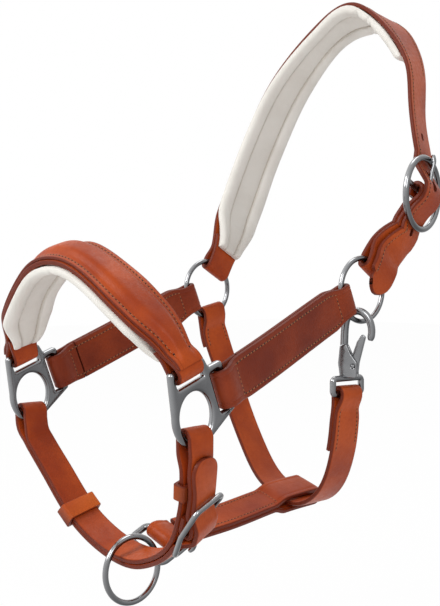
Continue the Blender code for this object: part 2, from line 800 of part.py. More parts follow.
def crown():
    """Crown strap, its lining, the round buckle, its tongue and the strap that holds the buckle."""
    up, out, line = crown_axes()
    bar_loop = Loop(CROWN_BAR_WIRE + GAP + LEATHER / 2, 1.5, 6.0, BUCKLE_STRAP_HALF - 1.0)
    held = buckle_strap_route()
    at_ring = ring_loop(RING_END_HALF, held.length - 10.0)
    short = Fold(held, bar_loop, at_ring, BUCKLE_STRAP_HALF, 12.0, LAYER_STEP / 2, LAYER_STEP / 2)
    strap = ribbon("buckle_strap", short.path(4.0))

    past_ring = 12.0

    def billet_height(s):
        return short.outer(s) + LAYER_STEP + 0.3

    rows = []
    beside = [s for s in short.stops(4.0) if s > 1.4][::-1]
    for s in spaced(held.length + past_ring, held.length, 2.0)[:-1] + beside:
        aside = 3.0 * (1 - ease((s - 20.0) / 20.0))
        rows.append(tuple(held.off(s, billet_height(s), aside)) + tuple(held.frame(s)[2]))
    held_rows = len(rows)
    over = bar_loop.radius + LAYER_STEP
    profile = rounded([(-1.0, over, 0.0), (4.0, over, 5.0), (18.0, -4.1, 6.0), (26.0, -4.3, 0.0)], False)
    rows += crown_local(profile[1:-1], line)
    side = [
        (69.4, 200.6, 182.1, -0.23, 0.91, -0.35),
        (61.2, 209.4, 208.1, -0.14, 0.93, -0.34),
        (47.1, 216.2, 231.0, 0.0, 0.97, -0.26),
        (26.8, 221.3, 250.5, 0.06, 0.98, -0.19),
    ]
    apex = [(0.0, 223.2, 259.2, 0.0, 0.92, -0.38)]
    a = math.radians(60.0)
    before = ring_turn(60.0, CROWN_END_HALF, -1.0, 14.0)
    ring_line = (0.0, math.sin(a), -math.cos(a))
    far = [
        (-75.8, 192.0, 155.5, 0.25, 0.91, -0.34),
        (-76.5, 180.0, 128.5, 0.26, 0.91, -0.32),
        (-74.8, 167.6, 107.0, 0.12, 0.89, -0.42),
        (before[0] - 0.6, before[1], before[2], *ring_line),
        (*ring_turn(60.0, CROWN_END_HALF, -1.0), *ring_line),
    ]
    start = crown_local([profile[-1]], line)
    rows += natural_curve(start + side + apex + mirrored(side)[::-1] + far, 4.0)
    route = Route(rows)
    stops = route.runs[:held_rows]
    held_part = held.length + past_ring
    lining_start = held_part + 105.0

    def width(s):
        tip = 1.8 + (BILLET_HALF - 1.8) * math.sqrt(1 - (1 - min(1.0, s / 11.0)) ** 2)
        if s < held_part:
            return tip
        wide = blend((s - held_part - 20.0) / 30.0, BILLET_HALF, CROWN_HALF - 2.5)
        return blend((s - lining_start + 20.0) / 40.0, wide, CROWN_HALF)

    at_far = ring_loop(CROWN_END_HALF, 22.0)
    run = Fold(route, None, at_far, CROWN_HALF, 24.0, 0.0, LAYER_STEP)

    def run_width(s):
        return min(width(s), run.width(s))

    opening = route.length - at_far.hold - PINCH
    marks = [(stops[-1], 3.2), (held_part + 30.0, 8.0), (opening, PINCH / 4), (opening + PINCH, 5.0)]
    stops += graded(marks, route.length)[1:]
    path = layer(route, stops, run.outer, run_width)
    path += turn(route, route.length, 1.0, 0.0, at_far.radius, at_far.half, True)
    tail_start = route.length - at_far.tail
    path += layer(route, [s for s in stops if s > tail_start][::-1] + [tail_start], run.inner, run.width)
    billet = ribbon("crown_strap", path)

    def under(s):
        tail_end = route.length - s - at_far.tail - 1.0
        return -LEATHER / 2 - 2 * GAP - LAYER_STEP * ease(tail_end / 8.0)

    lining("crown_lining", route, stops, lining_start, route.length - 13.0, under)

    frame = torus("crown_buckle_frame", CROWN_BAR_PLACE, out, CROWN_BUCKLE_RADIUS, CROWN_BUCKLE_WIRE)
    reach = line * CROWN_BUCKLE_RADIUS
    bar = rod("crown_bar_join", CROWN_BAR_PLACE - reach, CROWN_BAR_PLACE + reach, CROWN_BAR_WIRE, sides=12)
    use_cutter(frame, bar, "UNION")
    rest = CROWN_BUCKLE_WIRE + TONGUE_WIRE + 0.4
    tongue("crown_buckle_tongue", CROWN_BAR_PLACE, up, out, CROWN_BAR_WIRE, CROWN_BUCKLE_RADIUS, rest, CROWN_BAR_PLACE)
    slot = rod("crown_eye_slot", CROWN_BAR_PLACE - line * 2.1, CROWN_BAR_PLACE + line * 2.1, 6.4, sides=20)
    use_cutter(strap, slot, "DIFFERENCE")
    slope = Vector((14.0, over + 4.1)).normalized()
    crossing = 4.0 + (over - rest) * 14.0 / (over + 4.1)
    run_line = up * slope.x - out * slope.y
    middle = CROWN_BAR_PLACE + up * crossing + out * rest
    hole = oval_cutter("crown_tongue_hole", middle, run_line, line, 7.0, 2.5, 4.0)
    use_cutter(billet, hole, "DIFFERENCE")
    for i in range(3):
        s = held_part + 47.0 + 19.0 * i
        place, ahead, across, _ = route.frame(s)
        spare = oval_cutter("crown_spare_hole_" + str(i), place, ahead, across, 3.4, 2.1, 4.0)
        use_cutter(billet, spare, "DIFFERENCE")
    place, ahead, across, _ = route.frame(held_part - 24.0)
    spare = oval_cutter("crown_spare_hole_low", place, ahead, across, 3.4, 2.1, 2.0)
    use_cutter(billet, spare, "DIFFERENCE")
    return route


def oval_cutter(name, middle, ahead, across, half_length, half_width, depth):
    """A rounded prism that cuts an oval hole through a strap."""
    normal = ahead.cross(across).normalized()
    straight = half_length - half_width
    points = []
    for i in range(12):
        angle = math.pi * (i + 0.5) / 6
        a = half_width * math.cos(angle) + math.copysign(straight, math.cos(angle))
        points.append(ahead * a + across * (half_width * math.sin(angle)))
    rings = [[middle + point + normal * height for point in points] for height in (-depth, depth)]
    return sweep(name, rings, "leather", middle)


# Throat strap and jaw strap

def throat():
    """Strap under the throat, single leather with short tails inside its two loops."""
    a = math.radians(283.0)
    rows = [
        (*ring_turn(283.0, RING_END_HALF, -1.0), 0.0, -math.sin(a), math.cos(a)),
        (*ring_turn(283.0, RING_END_HALF, -1.0, 13.0), 0.0, -math.sin(a), math.cos(a)),
        (-67.0, 155.0, 12.0, 0.03, 1.0, 0.0),
        (-58.0, 159.5, -17.0, 0.0, 1.0, 0.0),
        (-40.0, 158.5, -46.0, 0.0, 1.0, 0.0),
        (-18.0, 155.5, -66.5, 0.0, 1.0, 0.05),
        (0.0, 154.0, -73.0, 0.0, 1.0, 0.06),
        (15.0, 152.0, -75.5, 0.0, 1.0, 0.05),
        (31.0, 149.0, -71.0, 0.0, 1.0, 0.0),
        (45.0, 145.5, -60.0, 0.0, 1.0, 0.0),
        (56.0, 141.5, -43.0, 0.0, 1.0, 0.0),
        (63.6, 137.4, -24.0, 0.0, 1.0, 0.0),
        (66.2, 135.9, -8.0, 0.0, 1.0, 0.0),
        (*EYE_PLACE, 0.0, 1.0, 0.0),
    ]
    route = Route(natural_curve(rows, 4.0))
    at_ring = ring_loop(RING_END_HALF, 24.0)
    at_eye = Loop(EYE_WIRE + GAP + LEATHER / 2, 0.5, 36.0, SNAP_END_HALF)
    strap = Fold(route, at_ring, at_eye, THROAT_HALF, 18.0, 0.0, LAYER_STEP)
    ribbon("throat_strap", strap.path(8.0))


def jaw():
    """Double strap under the jaw, with a loop for the throat strap at its back end."""
    line = tuple(DEE_BAR_LINE.normalized())
    rows = [
        (*DEE_BAR_PLACE, *line),
        (-1.5, 57.0, -84.15, 0.94, 0.04, -0.34),
        (-1.4, 70.0, -82.8, 0.94, 0.02, -0.34),
        (-0.5, 88.0, -81.0, 0.94, 0.0, -0.34),
        (0.0, 109.0, -78.2, 0.94, 0.0, -0.34),
        (0.0, 135.0, -74.6, 0.94, 0.0, -0.32),
        (0.0, 168.0, -72.2, 0.95, 0.0, -0.3),
    ]
    route = Route(natural_curve(rows, 4.0), -1.0)
    front = Loop(DEE_WIRE + GAP + LEATHER / 2, 0.5, 10.0, JAW_HALF)
    back = Loop(LEATHER * 1.5 + GAP + 0.3, 28.0, route.length - 14.0, JAW_HALF)
    strap = Fold(route, front, back, JAW_HALF, 10.0, LAYER_STEP / 2, LAYER_STEP / 2)
    ribbon("jaw_strap", strap.path(10.0))


def chin_dee():
    """Rounded rectangular link that joins the jaw strap to the lead ring."""
    line = DEE_BAR_LINE.normalized()
    side = (DEE_SIDE_LINE - line * DEE_SIDE_LINE.dot(line)).normalized()
    corners = [
        (-DEE_HALF, 0.0, 4.0), (DEE_HALF, 0.0, 4.0),
        (DEE_HALF, DEE_BETWEEN, 5.0), (-DEE_HALF, DEE_BETWEEN, 5.0),
    ]
    points = [DEE_BAR_PLACE + line * a + side * b for a, b in rounded(corners, True)]
    closed_wire("chin_dee", points, DEE_WIRE, line.cross(side), DEE_BAR_PLACE)


# Chin strap

def chin_route():
    """Line between the two layers, from the near oval opening under the chin to the far one."""
    low = OVAL_CENTRE[1] - 11.4
    rows = [
        (FITTING_X, OVAL_CENTRE[0], low, 0.0, -1.0, 0.0),
        (78.2, 1.0, -24.0, 0.1, -1.0, 0.0),
        (76.0, 2.5, -34.0, 0.24, -0.97, 0.0),
        (71.8, 5.0, -46.0, 0.32, -0.95, 0.0),
        (65.0, 8.0, -58.0, 0.38, -0.92, 0.0),
        (56.5, 11.5, -69.0, 0.38, -0.92, -0.05),
        (47.0, 14.0, -77.5, 0.35, -0.93, -0.1),
        (28.0, 18.0, -87.5, 0.1, -0.97, -0.2),
        (10.7, 19.5, -92.0, 0.0, -0.97, -0.24),
        (-4.0, 19.5, -91.6, 0.0, -0.97, -0.24),
        (-21.5, 18.5, -87.0, 0.0, -0.97, -0.24),
        (-41.0, 14.0, -74.0, 0.0, -0.98, -0.2),
        (-60.0, 8.0, -50.0, 0.0, -1.0, -0.1),
        (-74.6, 2.5, -29.0, 0.0, -1.0, 0.0),
        (-78.4, 0.6, -20.5, 0.0, -1.0, 0.0),
        (-FITTING_X, OVAL_CENTRE[0], low, 0.0, -1.0, 0.0),
    ]
    return Route(natural_curve(rows, 4.0))


def chin():
    """The long chin strap, its buckle, tongue and two keepers."""
    route = chin_route()
    end = route.length
    at_oval = Loop(4.8, 6.5, 0.0, CHIN_END_HALF)
    layers = Fold(route, at_oval, at_oval, CHIN_HALF, 14.0, LAYER_STEP / 2, LAYER_STEP / 2)
    fold_radius = CHIN_WIRE + GAP + LEATHER / 2
    bar_height = LAYER_STEP / 2 + fold_radius
    bar_at = CHIN_BAR_AT
    near_outer = -LAYER_STEP / 2 + LEATHER + 2 * GAP + KEEPER_THICK
    top = bar_height + fold_radius
    flat = 12.0
    run_down = (top - near_outer) / 0.66
    mitre = LAYER_STEP * math.tan(math.atan(0.66) / 2)

    def points(corners):
        steps = []
        for s, height in rounded(corners, False):
            steps.append((route.off(s, height), route.frame(s)[2], CHIN_HALF))
        return steps

    def near_height(s):
        return blend((s - at_oval.hold) / PINCH, at_oval.radius, near_outer)

    inner_side = [bar_at - 8.0, bar_at - 4.0, bar_at]
    path = layer(route, inner_side, lambda s: LAYER_STEP / 2, lambda s: CHIN_HALF)
    path += turn(route, bar_at, 1.0, bar_height, fold_radius, CHIN_HALF, False)
    path += points([
        (bar_at, top, 0.0), (bar_at - 3.5, top, 4.0),
        (bar_at - 3.5 - run_down, near_outer, 4.0), (bar_at - run_down - 9.0, near_outer, 0.0),
    ])
    path += layer(route, spaced(bar_at - run_down - flat, 0.0, 3.2), near_height, layers.width)
    path += turn(route, 0.0, -1.0, 0.0, at_oval.radius, at_oval.half, True)
    turned = bar_at + 26.0
    marks = [(0.0, 5.0), (at_oval.hold, PINCH / 4), (at_oval.hold + PINCH, 3.6), (turned, 8.0)]
    marks += [(end - at_oval.hold - PINCH, PINCH / 4), (end - at_oval.hold, 5.0)]
    stops = graded(marks, end)
    path += layer(route, stops, layers.inner, layers.width)
    path += turn(route, end, 1.0, 0.0, at_oval.radius, at_oval.half, False)
    path += layer(route, [s for s in stops if s > turned - 1.0][::-1], layers.outer, layers.width)
    over = top + LAYER_STEP
    lift = LAYER_STEP / 2
    rise = [(bar_at + 22.0, lift, 0.0), (bar_at + 15.4, lift, 4.0), (bar_at + 4.0, over, 5.0)]
    fall = [
        (bar_at - 3.5 - mitre, over, 5.0),
        (bar_at - 3.5 - run_down - mitre, near_outer + LAYER_STEP, 4.0),
        (bar_at - run_down - flat, near_outer + LAYER_STEP, 0.0),
    ]
    path += points(rise + fall)
    tip = 9.0
    for s in spaced(bar_at - run_down - flat - 2.5, tip, 1.8):
        share = min(1.0, (s - tip) / 9.0)
        half = 1.8 + (CHIN_HALF - 1.8) * math.sqrt(1 - (1 - share) ** 2)
        path.append((route.off(s, near_height(s) + LAYER_STEP), route.frame(s)[2], half))
    strap = ribbon("chin_strap", path)

    upper_height = near_outer + LAYER_STEP + LEATHER / 2 + GAP + 0.3 + CHIN_WIRE

    def rim_place(s, across):
        share = (bar_at - s) / CHIN_BUCKLE_REACH
        rise = upper_height - bar_height if share > 0 else -0.3
        return route.off(s, bar_height + rise * share, across)

    corners = [
        (bar_at - CHIN_BUCKLE_REACH, -CHIN_BUCKLE_HALF, 4.5), (bar_at, -CHIN_BUCKLE_HALF, 0.0),
        (bar_at + CHIN_BUCKLE_REACH, -CHIN_BUCKLE_HALF, 4.5), (bar_at + CHIN_BUCKLE_REACH, CHIN_BUCKLE_HALF, 4.5),
        (bar_at, CHIN_BUCKLE_HALF, 0.0), (bar_at - CHIN_BUCKLE_REACH, CHIN_BUCKLE_HALF, 4.5),
    ]
    loop = [rim_place(s, across) for s, across in rounded(corners, True)]
    bar_middle, ahead, across, normal = route.frame(bar_at)
    bar_middle = bar_middle + normal * bar_height
    frame = closed_wire("chin_buckle_frame", loop, CHIN_WIRE, normal, bar_middle)
    reach = across * CHIN_BUCKLE_HALF
    bar = rod("chin_bar_join", bar_middle - reach, bar_middle + reach, CHIN_WIRE * 0.95, sides=12)
    use_cutter(frame, bar, "UNION")
    rest = CHIN_WIRE + TONGUE_WIRE + 0.5
    lower_rim = rim_place(bar_at + CHIN_BUCKLE_REACH, 0.0) - bar_middle
    toward = (lower_rim - across * lower_rim.dot(across)).normalized()
    lift_side = normal - toward * normal.dot(toward)
    tongue("chin_buckle_tongue", bar_middle, toward, lift_side.normalized(), CHIN_WIRE, lower_rim.length, rest, bar_middle)
    slot = rod("chin_eye_slot", bar_middle - across * 2.0, bar_middle + across * 2.0, 5.4, sides=20)
    use_cutter(strap, slot, "DIFFERENCE")
    slope = (over - lift) / 11.4
    crossing = bar_at + 4.0 + (over - bar_height - rest) / slope
    middle = route.off(crossing, bar_height + rest)
    run_line = (ahead - normal * slope).normalized()
    hole = oval_cutter("chin_tongue_hole", middle, run_line, across, 6.6, 2.4, 3.4)
    use_cutter(strap, hole, "DIFFERENCE")

    inner = -LAYER_STEP / 2
    keeper("chin_keeper_near", route, CHIN_KEEPER_AT, inner - LEATHER / 2, inner + LEATHER / 2, CHIN_HALF, 9.0)
    both = LAYER_STEP / 2 + LEATHER / 2
    keeper("chin_keeper_far", route, end - FAR_KEEPER_AT, -both, both, CHIN_HALF, 11.0)


# Throat snap

def snap_place(across, up, height=0.0):
    """A place in the snap hook's own plane: across it, up, and out of the plane."""
    a = Vector((math.sin(SNAP_TURN), math.cos(SNAP_TURN), 0.0))
    n = Vector((math.cos(SNAP_TURN), -math.sin(SNAP_TURN), 0.0))
    return SNAP_PLACE + a * across + n * height + Vector((0.0, 0.0, up))


def snap():
    """Throat snap: body with hook and eye, sprung gate, its pin and its spring."""
    pivot = snap_place(*GATE_PIVOT)
    body_corners = [
        (-12.4, 10.6, 1.6), (-13.8, 20.5, 6.0), (-11.2, 31.5, 2.2), (-6.6, 31.5, 2.0),
        (-2.4, 26.5, 3.0), (1.0, 20.5, 3.0), (0.2, 10.6, 1.6),
    ]
    body = plate("snap_body", rounded(body_corners, True), [], SNAP_BODY_THICK, 1.3, snap_place, "steel", EYE_PLACE)
    hook_line = natural_curve([
        (-9.2, 22.0, 0.0), (-8.7, 33.0, 0.0), (-8.0, 43.5, 0.0), (-6.2, 48.8, 0.0), (-1.0, 51.9, 0.0),
        (4.4, 49.8, 0.0), (7.6, 44.5, 0.0), (8.4, 39.0, 0.0), (7.6, 33.8, 0.0),
    ], 2.2)
    hook_points = [snap_place(a, b) for a, b, _ in hook_line]
    count = len(hook_points)
    radii = [SNAP_WIRE * (1.12 - 0.12 * i / count) for i in range(count)]
    radii[-1] = SNAP_WIRE * 0.6
    flat_side = snap_place(0.0, 0.0, 1.0) - snap_place(0.0, 0.0)
    hook = sweep("snap_hook_join", tube_rings(hook_points, radii, False, 12, flat_side), "steel", EYE_PLACE)
    use_cutter(body, hook, "UNION")
    eye_corners = [
        (-EYE_HALF, 0.0, 2.2), (EYE_HALF, 0.0, 2.2), (EYE_HALF, EYE_HEIGHT, 2.2), (-EYE_HALF, EYE_HEIGHT, 2.2),
    ]
    eye_points = [EYE_PLACE + Vector((0.0, a, b)) for a, b in rounded(eye_corners, True)]
    eye = closed_wire("snap_eye_join", eye_points, EYE_WIRE, Vector((1.0, 0.0, 0.0)), EYE_PLACE, sides=12)
    use_cutter(body, eye, "UNION")
    slot_half = GATE_THICK / 2 + 0.3
    slot_corners = [(-6.5, 13.2), (5.0, 13.2), (5.0, 40.0), (-6.5, 40.0)]
    slot_rings = [[snap_place(a, b, h) for a, b in slot_corners] for h in (-slot_half, slot_half)]
    slot = sweep("snap_gate_slot", slot_rings, "steel", EYE_PLACE)
    use_cutter(body, slot, "DIFFERENCE")
    pin_half = SNAP_BODY_THICK / 2 + 0.4
    pin_ends = (snap_place(*GATE_PIVOT, -pin_half), snap_place(*GATE_PIVOT, pin_half))
    rod("snap_gate_pin", pin_ends[0], pin_ends[1], PIN_RADIUS, origin=pivot)
    reamed = (snap_place(*GATE_PIVOT, -pin_half - 2), snap_place(*GATE_PIVOT, pin_half + 2))
    bore = rod("snap_pin_bore", reamed[0], reamed[1], PIN_RADIUS + 0.25)
    use_cutter(body, bore, "DIFFERENCE")
    gate_corners = [
        (-5.2, 14.2, 1.6), (0.2, 13.8, 1.6), (0.9, 20.0, 2.0), (4.9, 36.0, 1.2),
        (2.6, 38.0, 1.2), (-0.6, 33.0, 3.0), (-4.9, 20.5, 3.0),
    ]
    eye_hole = oval(GATE_PIVOT, (PIN_RADIUS + 0.25, PIN_RADIUS + 0.25), 0.0, 337.5, 15)
    plate("snap_gate", rounded(gate_corners, True), [eye_hole], GATE_THICK, 0.5, snap_place, "steel", pivot)
    leaf = [snap_place(a, b) for a, b in [(-6.0, 29.5), (-6.0, 26.0), (-5.9, 23.5), (-5.6, 21.6)]]
    leaf_path = [(place, flat_side, 1.2) for place in leaf]
    ribbon("snap_spring", leaf_path, "steel", 0.5)


def build():
    """Make every piece of the halter."""
    clear_scene()
    x_axis = Vector((1.0, 0.0, 0.0))
    for side, x_sign in (("near", 1.0), ("far", -1.0)):
        cheek_fitting("cheek_fitting_" + side, x_sign)
        cheek_strap("cheek_strap_" + side, x_sign)
        centre = Vector((x_sign * RING_PLACE.x, RING_PLACE.y, RING_PLACE.z))
        torus("upper_ring_" + side, centre, x_axis, RING_RADIUS, RING_WIRE)
    noseband()
    crown()
    throat()
    jaw()
    chin_dee()
    chin()
    torus("lead_ring", LEAD_RING_PLACE, x_axis, RING_RADIUS, RING_WIRE)
    snap()


build()
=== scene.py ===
"""Looks of a leather head halter, built round its packed mechanical model.

Straps are drawn along the same middle lines as the solids, in millimetres of a drawing frame:
x towards the horse's left side, y towards the back of the head, z up, origin midway between
the two cheek fittings. Finished meshes are in metres, measured from POLL.
"""

import math

import bmesh
import bpy
import numpy as np
from mathutils import Matrix, Vector


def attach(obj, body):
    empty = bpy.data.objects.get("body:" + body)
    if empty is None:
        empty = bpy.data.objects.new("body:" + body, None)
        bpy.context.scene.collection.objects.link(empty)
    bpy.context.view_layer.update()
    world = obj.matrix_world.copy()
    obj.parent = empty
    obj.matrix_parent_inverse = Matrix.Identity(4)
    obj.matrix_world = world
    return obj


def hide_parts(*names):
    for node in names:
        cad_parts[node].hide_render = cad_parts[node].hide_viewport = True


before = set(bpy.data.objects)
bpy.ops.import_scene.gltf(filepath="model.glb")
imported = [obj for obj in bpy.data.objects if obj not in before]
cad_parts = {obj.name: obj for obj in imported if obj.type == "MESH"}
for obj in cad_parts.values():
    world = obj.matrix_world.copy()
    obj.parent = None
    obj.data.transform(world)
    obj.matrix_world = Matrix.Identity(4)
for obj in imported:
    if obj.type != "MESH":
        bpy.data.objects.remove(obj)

bl_info = {
    "name": "Leather halter finish",
    "version": (1, 0, 0),
    "blender": (4, 5, 0),
    "location": "3D View > Sidebar > Halter",
    "description": "Fine leather, padded lining, stitching and polished hardware of a head halter",
    "category": "Object",
}

MM = 0.001
POLL = Vector((0.0, 223.0, 250.0))

GAP = 0.35
LEATHER = 2.8
LAYER_STEP = LEATHER + GAP
PINCH = 11.0
ROUTE_STEP = 2.0
STRIP_STEP = 2.2
BAR_HOLD = 0.5
TURN_STEPS = 14

STITCH_INSET = 3.1
COVER_STITCH_INSET = 3.0
THROAT_STITCH_INSET = 2.8
CROWN_STITCH_INSET = 3.8
THREAD_IN_GROOVE = 0.12
THREAD_ON_FLAT = 0.04
THREAD_SHARE = 0.66
THREAD_SLANT = 0.14
STITCHES_AT_ONCE = 24

RING_RADIUS = 19.5
RING_SNUG = 0.6
RING_WIRE = 1.65
RING_PLACE = Vector((72.0, 143.0, 65.0))
LEAD_RING_PLACE = Vector((0.0, 19.5, -100.8))
LEAD_RING_WIRE = 1.8
CHEEK_RING_ANGLE = 203.0
BUCKLE_RING_ANGLE = 53.0
CROWN_RING_ANGLE = 60.0
THROAT_RING_ANGLE = 283.0

FITTING_X = 79.0
FITTING_THICK = 4.6
BAR_THICK = 4.4
OVAL_CENTRE = (0.3, -1.0)
OVAL_HALF = (11.3, 13.5)
OVAL_RIM = 4.0
SLOT_WIDTH = 5.8
NOSE_BAR = (-6.35, 24.4)
NOSE_BAR_ANGLE = math.radians(21.2)
NOSE_SLOT = 18.8
CHEEK_BAR = (21.3, 13.3)
CHEEK_BAR_ANGLE = math.radians(-69.1)
CHEEK_SLOT = 22.6
BAR_TURN = 4.5

NOSE_HALF = 15.5
NOSE_END_HALF = 8.7
NOSE_TAIL = 15.0
NOSE_TAPER = 38.0
NOSE_ARCH_RUN = 13.0
NOSE_STITCH_FROM = 8.0
NOSE_LINING_FROM = 10.0
NOSE_SEAM_FROM = 19.0
NOSE_CORE_FROM = 19.0
CHEEK_HALF = 12.5
CHEEK_END_HALF = 10.9
CHEEK_TAIL = 15.0
CHEEK_TAPER = 15.0
CHEEK_STITCH_FROM = 10.0
CHEEK_STITCH_TO = 11.0
CHEEK_CROSS_INSET = 5.6
RING_END_HALF = 9.6
CROWN_HALF = 15.0
CROWN_END_HALF = 10.2
CROWN_TAIL = 22.0
CROWN_TAPER = 38.0
CROWN_LINING_FROM = 105.0
CROWN_LINING_TO = 13.0
CROWN_STITCH_FROM = 8.0
CROWN_STITCH_TO = 9.0
HEAD_TOP_FROM = 158.0
CROWN_BEND_FROM = 4.0
CROWN_BEND_TO = 18.0
CROWN_BEND_LOW = -4.1
CROWN_TONGUE_HOLE = (8.2, 2.7, 4.0)
CROWN_TONGUE_SLOT = (2.1, 6.4)
SPARE_HOLE = (2.6, 1.6)
SPARE_HOLES = ((47.0, 4.0), (-24.0, 2.0))
BILLET_HALF = 10.8
BILLET_PAST_RING = 12.0
TIP_HALF = 1.8
TIP_RUN = 13.0
BUCKLE_STRAP_HALF = 10.8
BUCKLE_STRAP_TAIL = 6.0
BUCKLE_STRAP_TAPER = 12.0
CROWN_BAR_HOLD = 1.5
THROAT_HALF = 11.0
THROAT_TAIL = 24.0
THROAT_TAPER = 18.0
SNAP_END_HALF = 9.2
SNAP_TAIL = 36.0
JAW_HALF = 11.0
JAW_TAPER = 10.0
JAW_DEE_TAIL = 10.0
JAW_TAIL_GAP = 4.0
JAW_BACK_HOLD = 28.0
JAW_STITCH_FROM = 17.0
JAW_STITCH_TO = 36.0
JAW_CROSS_INSET = 5.4
CHIN_HALF = 9.6
CHIN_END_HALF = 8.3
CHIN_TAPER = 14.0
CHIN_TURN = 4.8
CHIN_HOLD = 6.5

LINING_THICK = 5.6
LINING_HALF = 17.0
LINING_PROUD = 2.0
LINING_FOLD_WIDTH = 1.5
CHANNEL_FILL = 0.60
PUCKER_SCALE = 1.6
COVER_THICK = 1.7
CORE_HEIGHT = 2.9
CORE_HALF = 5.4

CROWN_BUCKLE_RADIUS = 22.8
CROWN_BUCKLE_WIRE = 2.0
CROWN_BAR_WIRE = 2.0
CROWN_TONGUE_CLEAR = 0.4
CROWN_BAR_PLACE = Vector((83.0, 188.9, 126.0))
CROWN_FACE = Vector((0.981, 0.19, -0.04))
CROWN_BAR_LINE = Vector((-0.193, 0.935, -0.299))

CHIN_BAR_AT = 50.0
CHIN_BUCKLE_REACH = 17.0
CHIN_BUCKLE_HALF = 13.2
CHIN_WIRE = 1.55
CHIN_TONGUE_CLEAR = 0.5
CHIN_TONGUE_HOLE = (6.6, 2.4, 3.4)
CHIN_TONGUE_SLOT = (2.0, 5.4)
CHIN_CLIMB_FROM = 15.4
CHIN_CLIMB_TO = 4.0
CHIN_DESCENT = 0.66
CHIN_TIP_AT = 9.0
CHIN_TIP_RUN = 9.0
TONGUE_WIRE = 1.4

DEE_WIRE = 2.1
DEE_BAR_PLACE = Vector((-1.5, 45.0, -85.5))
DEE_BAR_LINE = Vector((0.94, 0.04, -0.34))
DEE_SIDE_LINE = Vector((0.0, -0.84, -0.54))
DEE_BETWEEN = 15.0
DEE_HALF = 15.4

KEEPER_THICK = 2.0
CHIN_KEEPER_AT = 27.0
CHIN_KEEPER_WIDTH = 9.0
FAR_KEEPER_AT = 70.0
FAR_KEEPER_WIDTH = 11.0

SNAP_PLACE = Vector((72.0, 139.6, 0.0))
SNAP_TURN = math.radians(62.0)
SNAP_WIRE = 2.3
SNAP_BODY_THICK = 7.0
EYE_PLACE = Vector((66.3, 135.9, 1.0))
EYE_HALF = 13.0
EYE_HEIGHT = 9.4
EYE_WIRE = 2.0
GATE_THICK = 3.2
GATE_PIVOT = (-2.6, 18.0)
PIN_RADIUS = 1.1
PIN_PROUD = 0.25
LEAF_HALF = (1.2, 0.25)

# Direction of the painted light on the steel: points facing it get the painted highlight colour,
# points facing away get the painted shade colour.
PAINTED_LIGHT_SIDE = Vector((-0.46, -0.42, 0.78))

CAMERA_TURN = math.radians(47.755)
CAMERA_RISE = math.radians(1.157)
CAMERA_PLACE = (0.5159, -0.6015, -0.1795)
CAMERA_LENS = 65.35
CAMERA_SENSOR = 36.0
FLOOR_HEIGHT = -0.40
FLOOR_GLOW = 0.975
LAMP_TARGET = (0.0, -0.12, -0.18)


# Settings that a user would change

def colour(name, description, value):
    """A colour setting."""
    return bpy.props.FloatVectorProperty(
        name=name, description=description, default=value, size=3, min=0.0, max=1.0, subtype="COLOR")


def share(name, description, value):
    """A setting between 0 and 1."""
    return bpy.props.FloatProperty(
        name=name, description=description, default=value, min=0.0, max=1.0, subtype="FACTOR")


def size(name, description, value, low, high):
    """A size in millimetres."""
    return bpy.props.FloatProperty(
        name=name, description=description, default=value, min=low, max=high)


def power(name, description, value):
    """A lamp's power in watts."""
    return bpy.props.FloatProperty(
        name=name, description=description, default=value, min=0.0, unit="POWER")


class HalterLeather(bpy.types.PropertyGroup):
    """Colours and surface of the leather."""

    bright: colour("Bright tan", "Leather where the dye is thin", (0.49, 0.080, 0.012))
    deep: colour("Deep tan", "Leather where the dye is dense", (0.28, 0.036, 0.0075))
    edge: colour("Burnished edge", "Cut edges, darkened and polished", (0.14, 0.021, 0.008))
    # Painted shade: the cheek straps get a darker copy of the tan leather, for the shade on these
    # straps that face away from the lamps.
    cheek_shaded_bright: colour("Cheek tan", "Cheek straps where the dye is thin", (0.29, 0.045, 0.012))
    cheek_shaded_deep: colour("Cheek deep", "Cheek straps where the dye is dense", (0.16, 0.021, 0.0075))
    keeper: colour("Keeper leather", "The lighter leather of the keepers", (0.56, 0.125, 0.018))
    roughness: share("Roughness", "Middle roughness of the finished grain", 0.40)
    grain: size("Grain size (mm)", "Distance between pores", 0.9, 0.3, 3.0)
    groove: size("Stitch groove (mm)", "Depth of the groove that the thread lies in", 0.22, 0.0, 0.6)


class HalterThread(bpy.types.PropertyGroup):
    """Stitching."""

    pale: colour("Thread", "Waxed thread on the leather", (0.36, 0.135, 0.05))
    # Painted shadow: a nearly black colour for the small body sunk between two stitches, where the
    # stitch hole is in shade.
    hole: colour("Stitch hole", "Shadowed hole between two stitches", (0.02, 0.005, 0.003))
    cream: colour("Lining thread", "Thread along the seams of the lining", (0.60, 0.54, 0.45))
    pitch: size("Pitch (mm)", "Distance from one stitch to the next", 2.7, 1.5, 6.0)
    width: size("Thread width (mm)", "Width of one stitch", 0.75, 0.3, 1.5)


class HalterLining(bpy.types.PropertyGroup):
    """Padded lining."""

    clean: colour("Lining", "Smooth off-white lining leather", (0.765, 0.74, 0.69))
    # The colour of random wear, and of the painted shade in the seams and over the middle channel.
    worn_and_shaded: colour("Lining shade", "Lining in its seams and folds", (0.50, 0.455, 0.395))
    roughness: share("Roughness", "Roughness of the lining leather", 0.55)
    seam: share("Seam place", "Where the two seams lie, as a share of the half width", 0.43)
    pucker: size("Pucker (mm)", "Depth of the small folds along the seams", 0.28, 0.0, 1.0)


class HalterSteel(bpy.types.PropertyGroup):
    """Polished steel."""

    # tone is the steel's colour on its painted lit side; the next colour is its painted shade on the
    # lower and back sides and in its painted reflection blotches.
    tone: colour("Steel", "Colour of the polished metal", (0.46, 0.465, 0.475))
    painted_shade_steel: colour("Dull steel", "Colour of the metal's lower and back sides", (0.055, 0.056, 0.060))
    roughness: share("Roughness", "Roughness of the polish", 0.15)


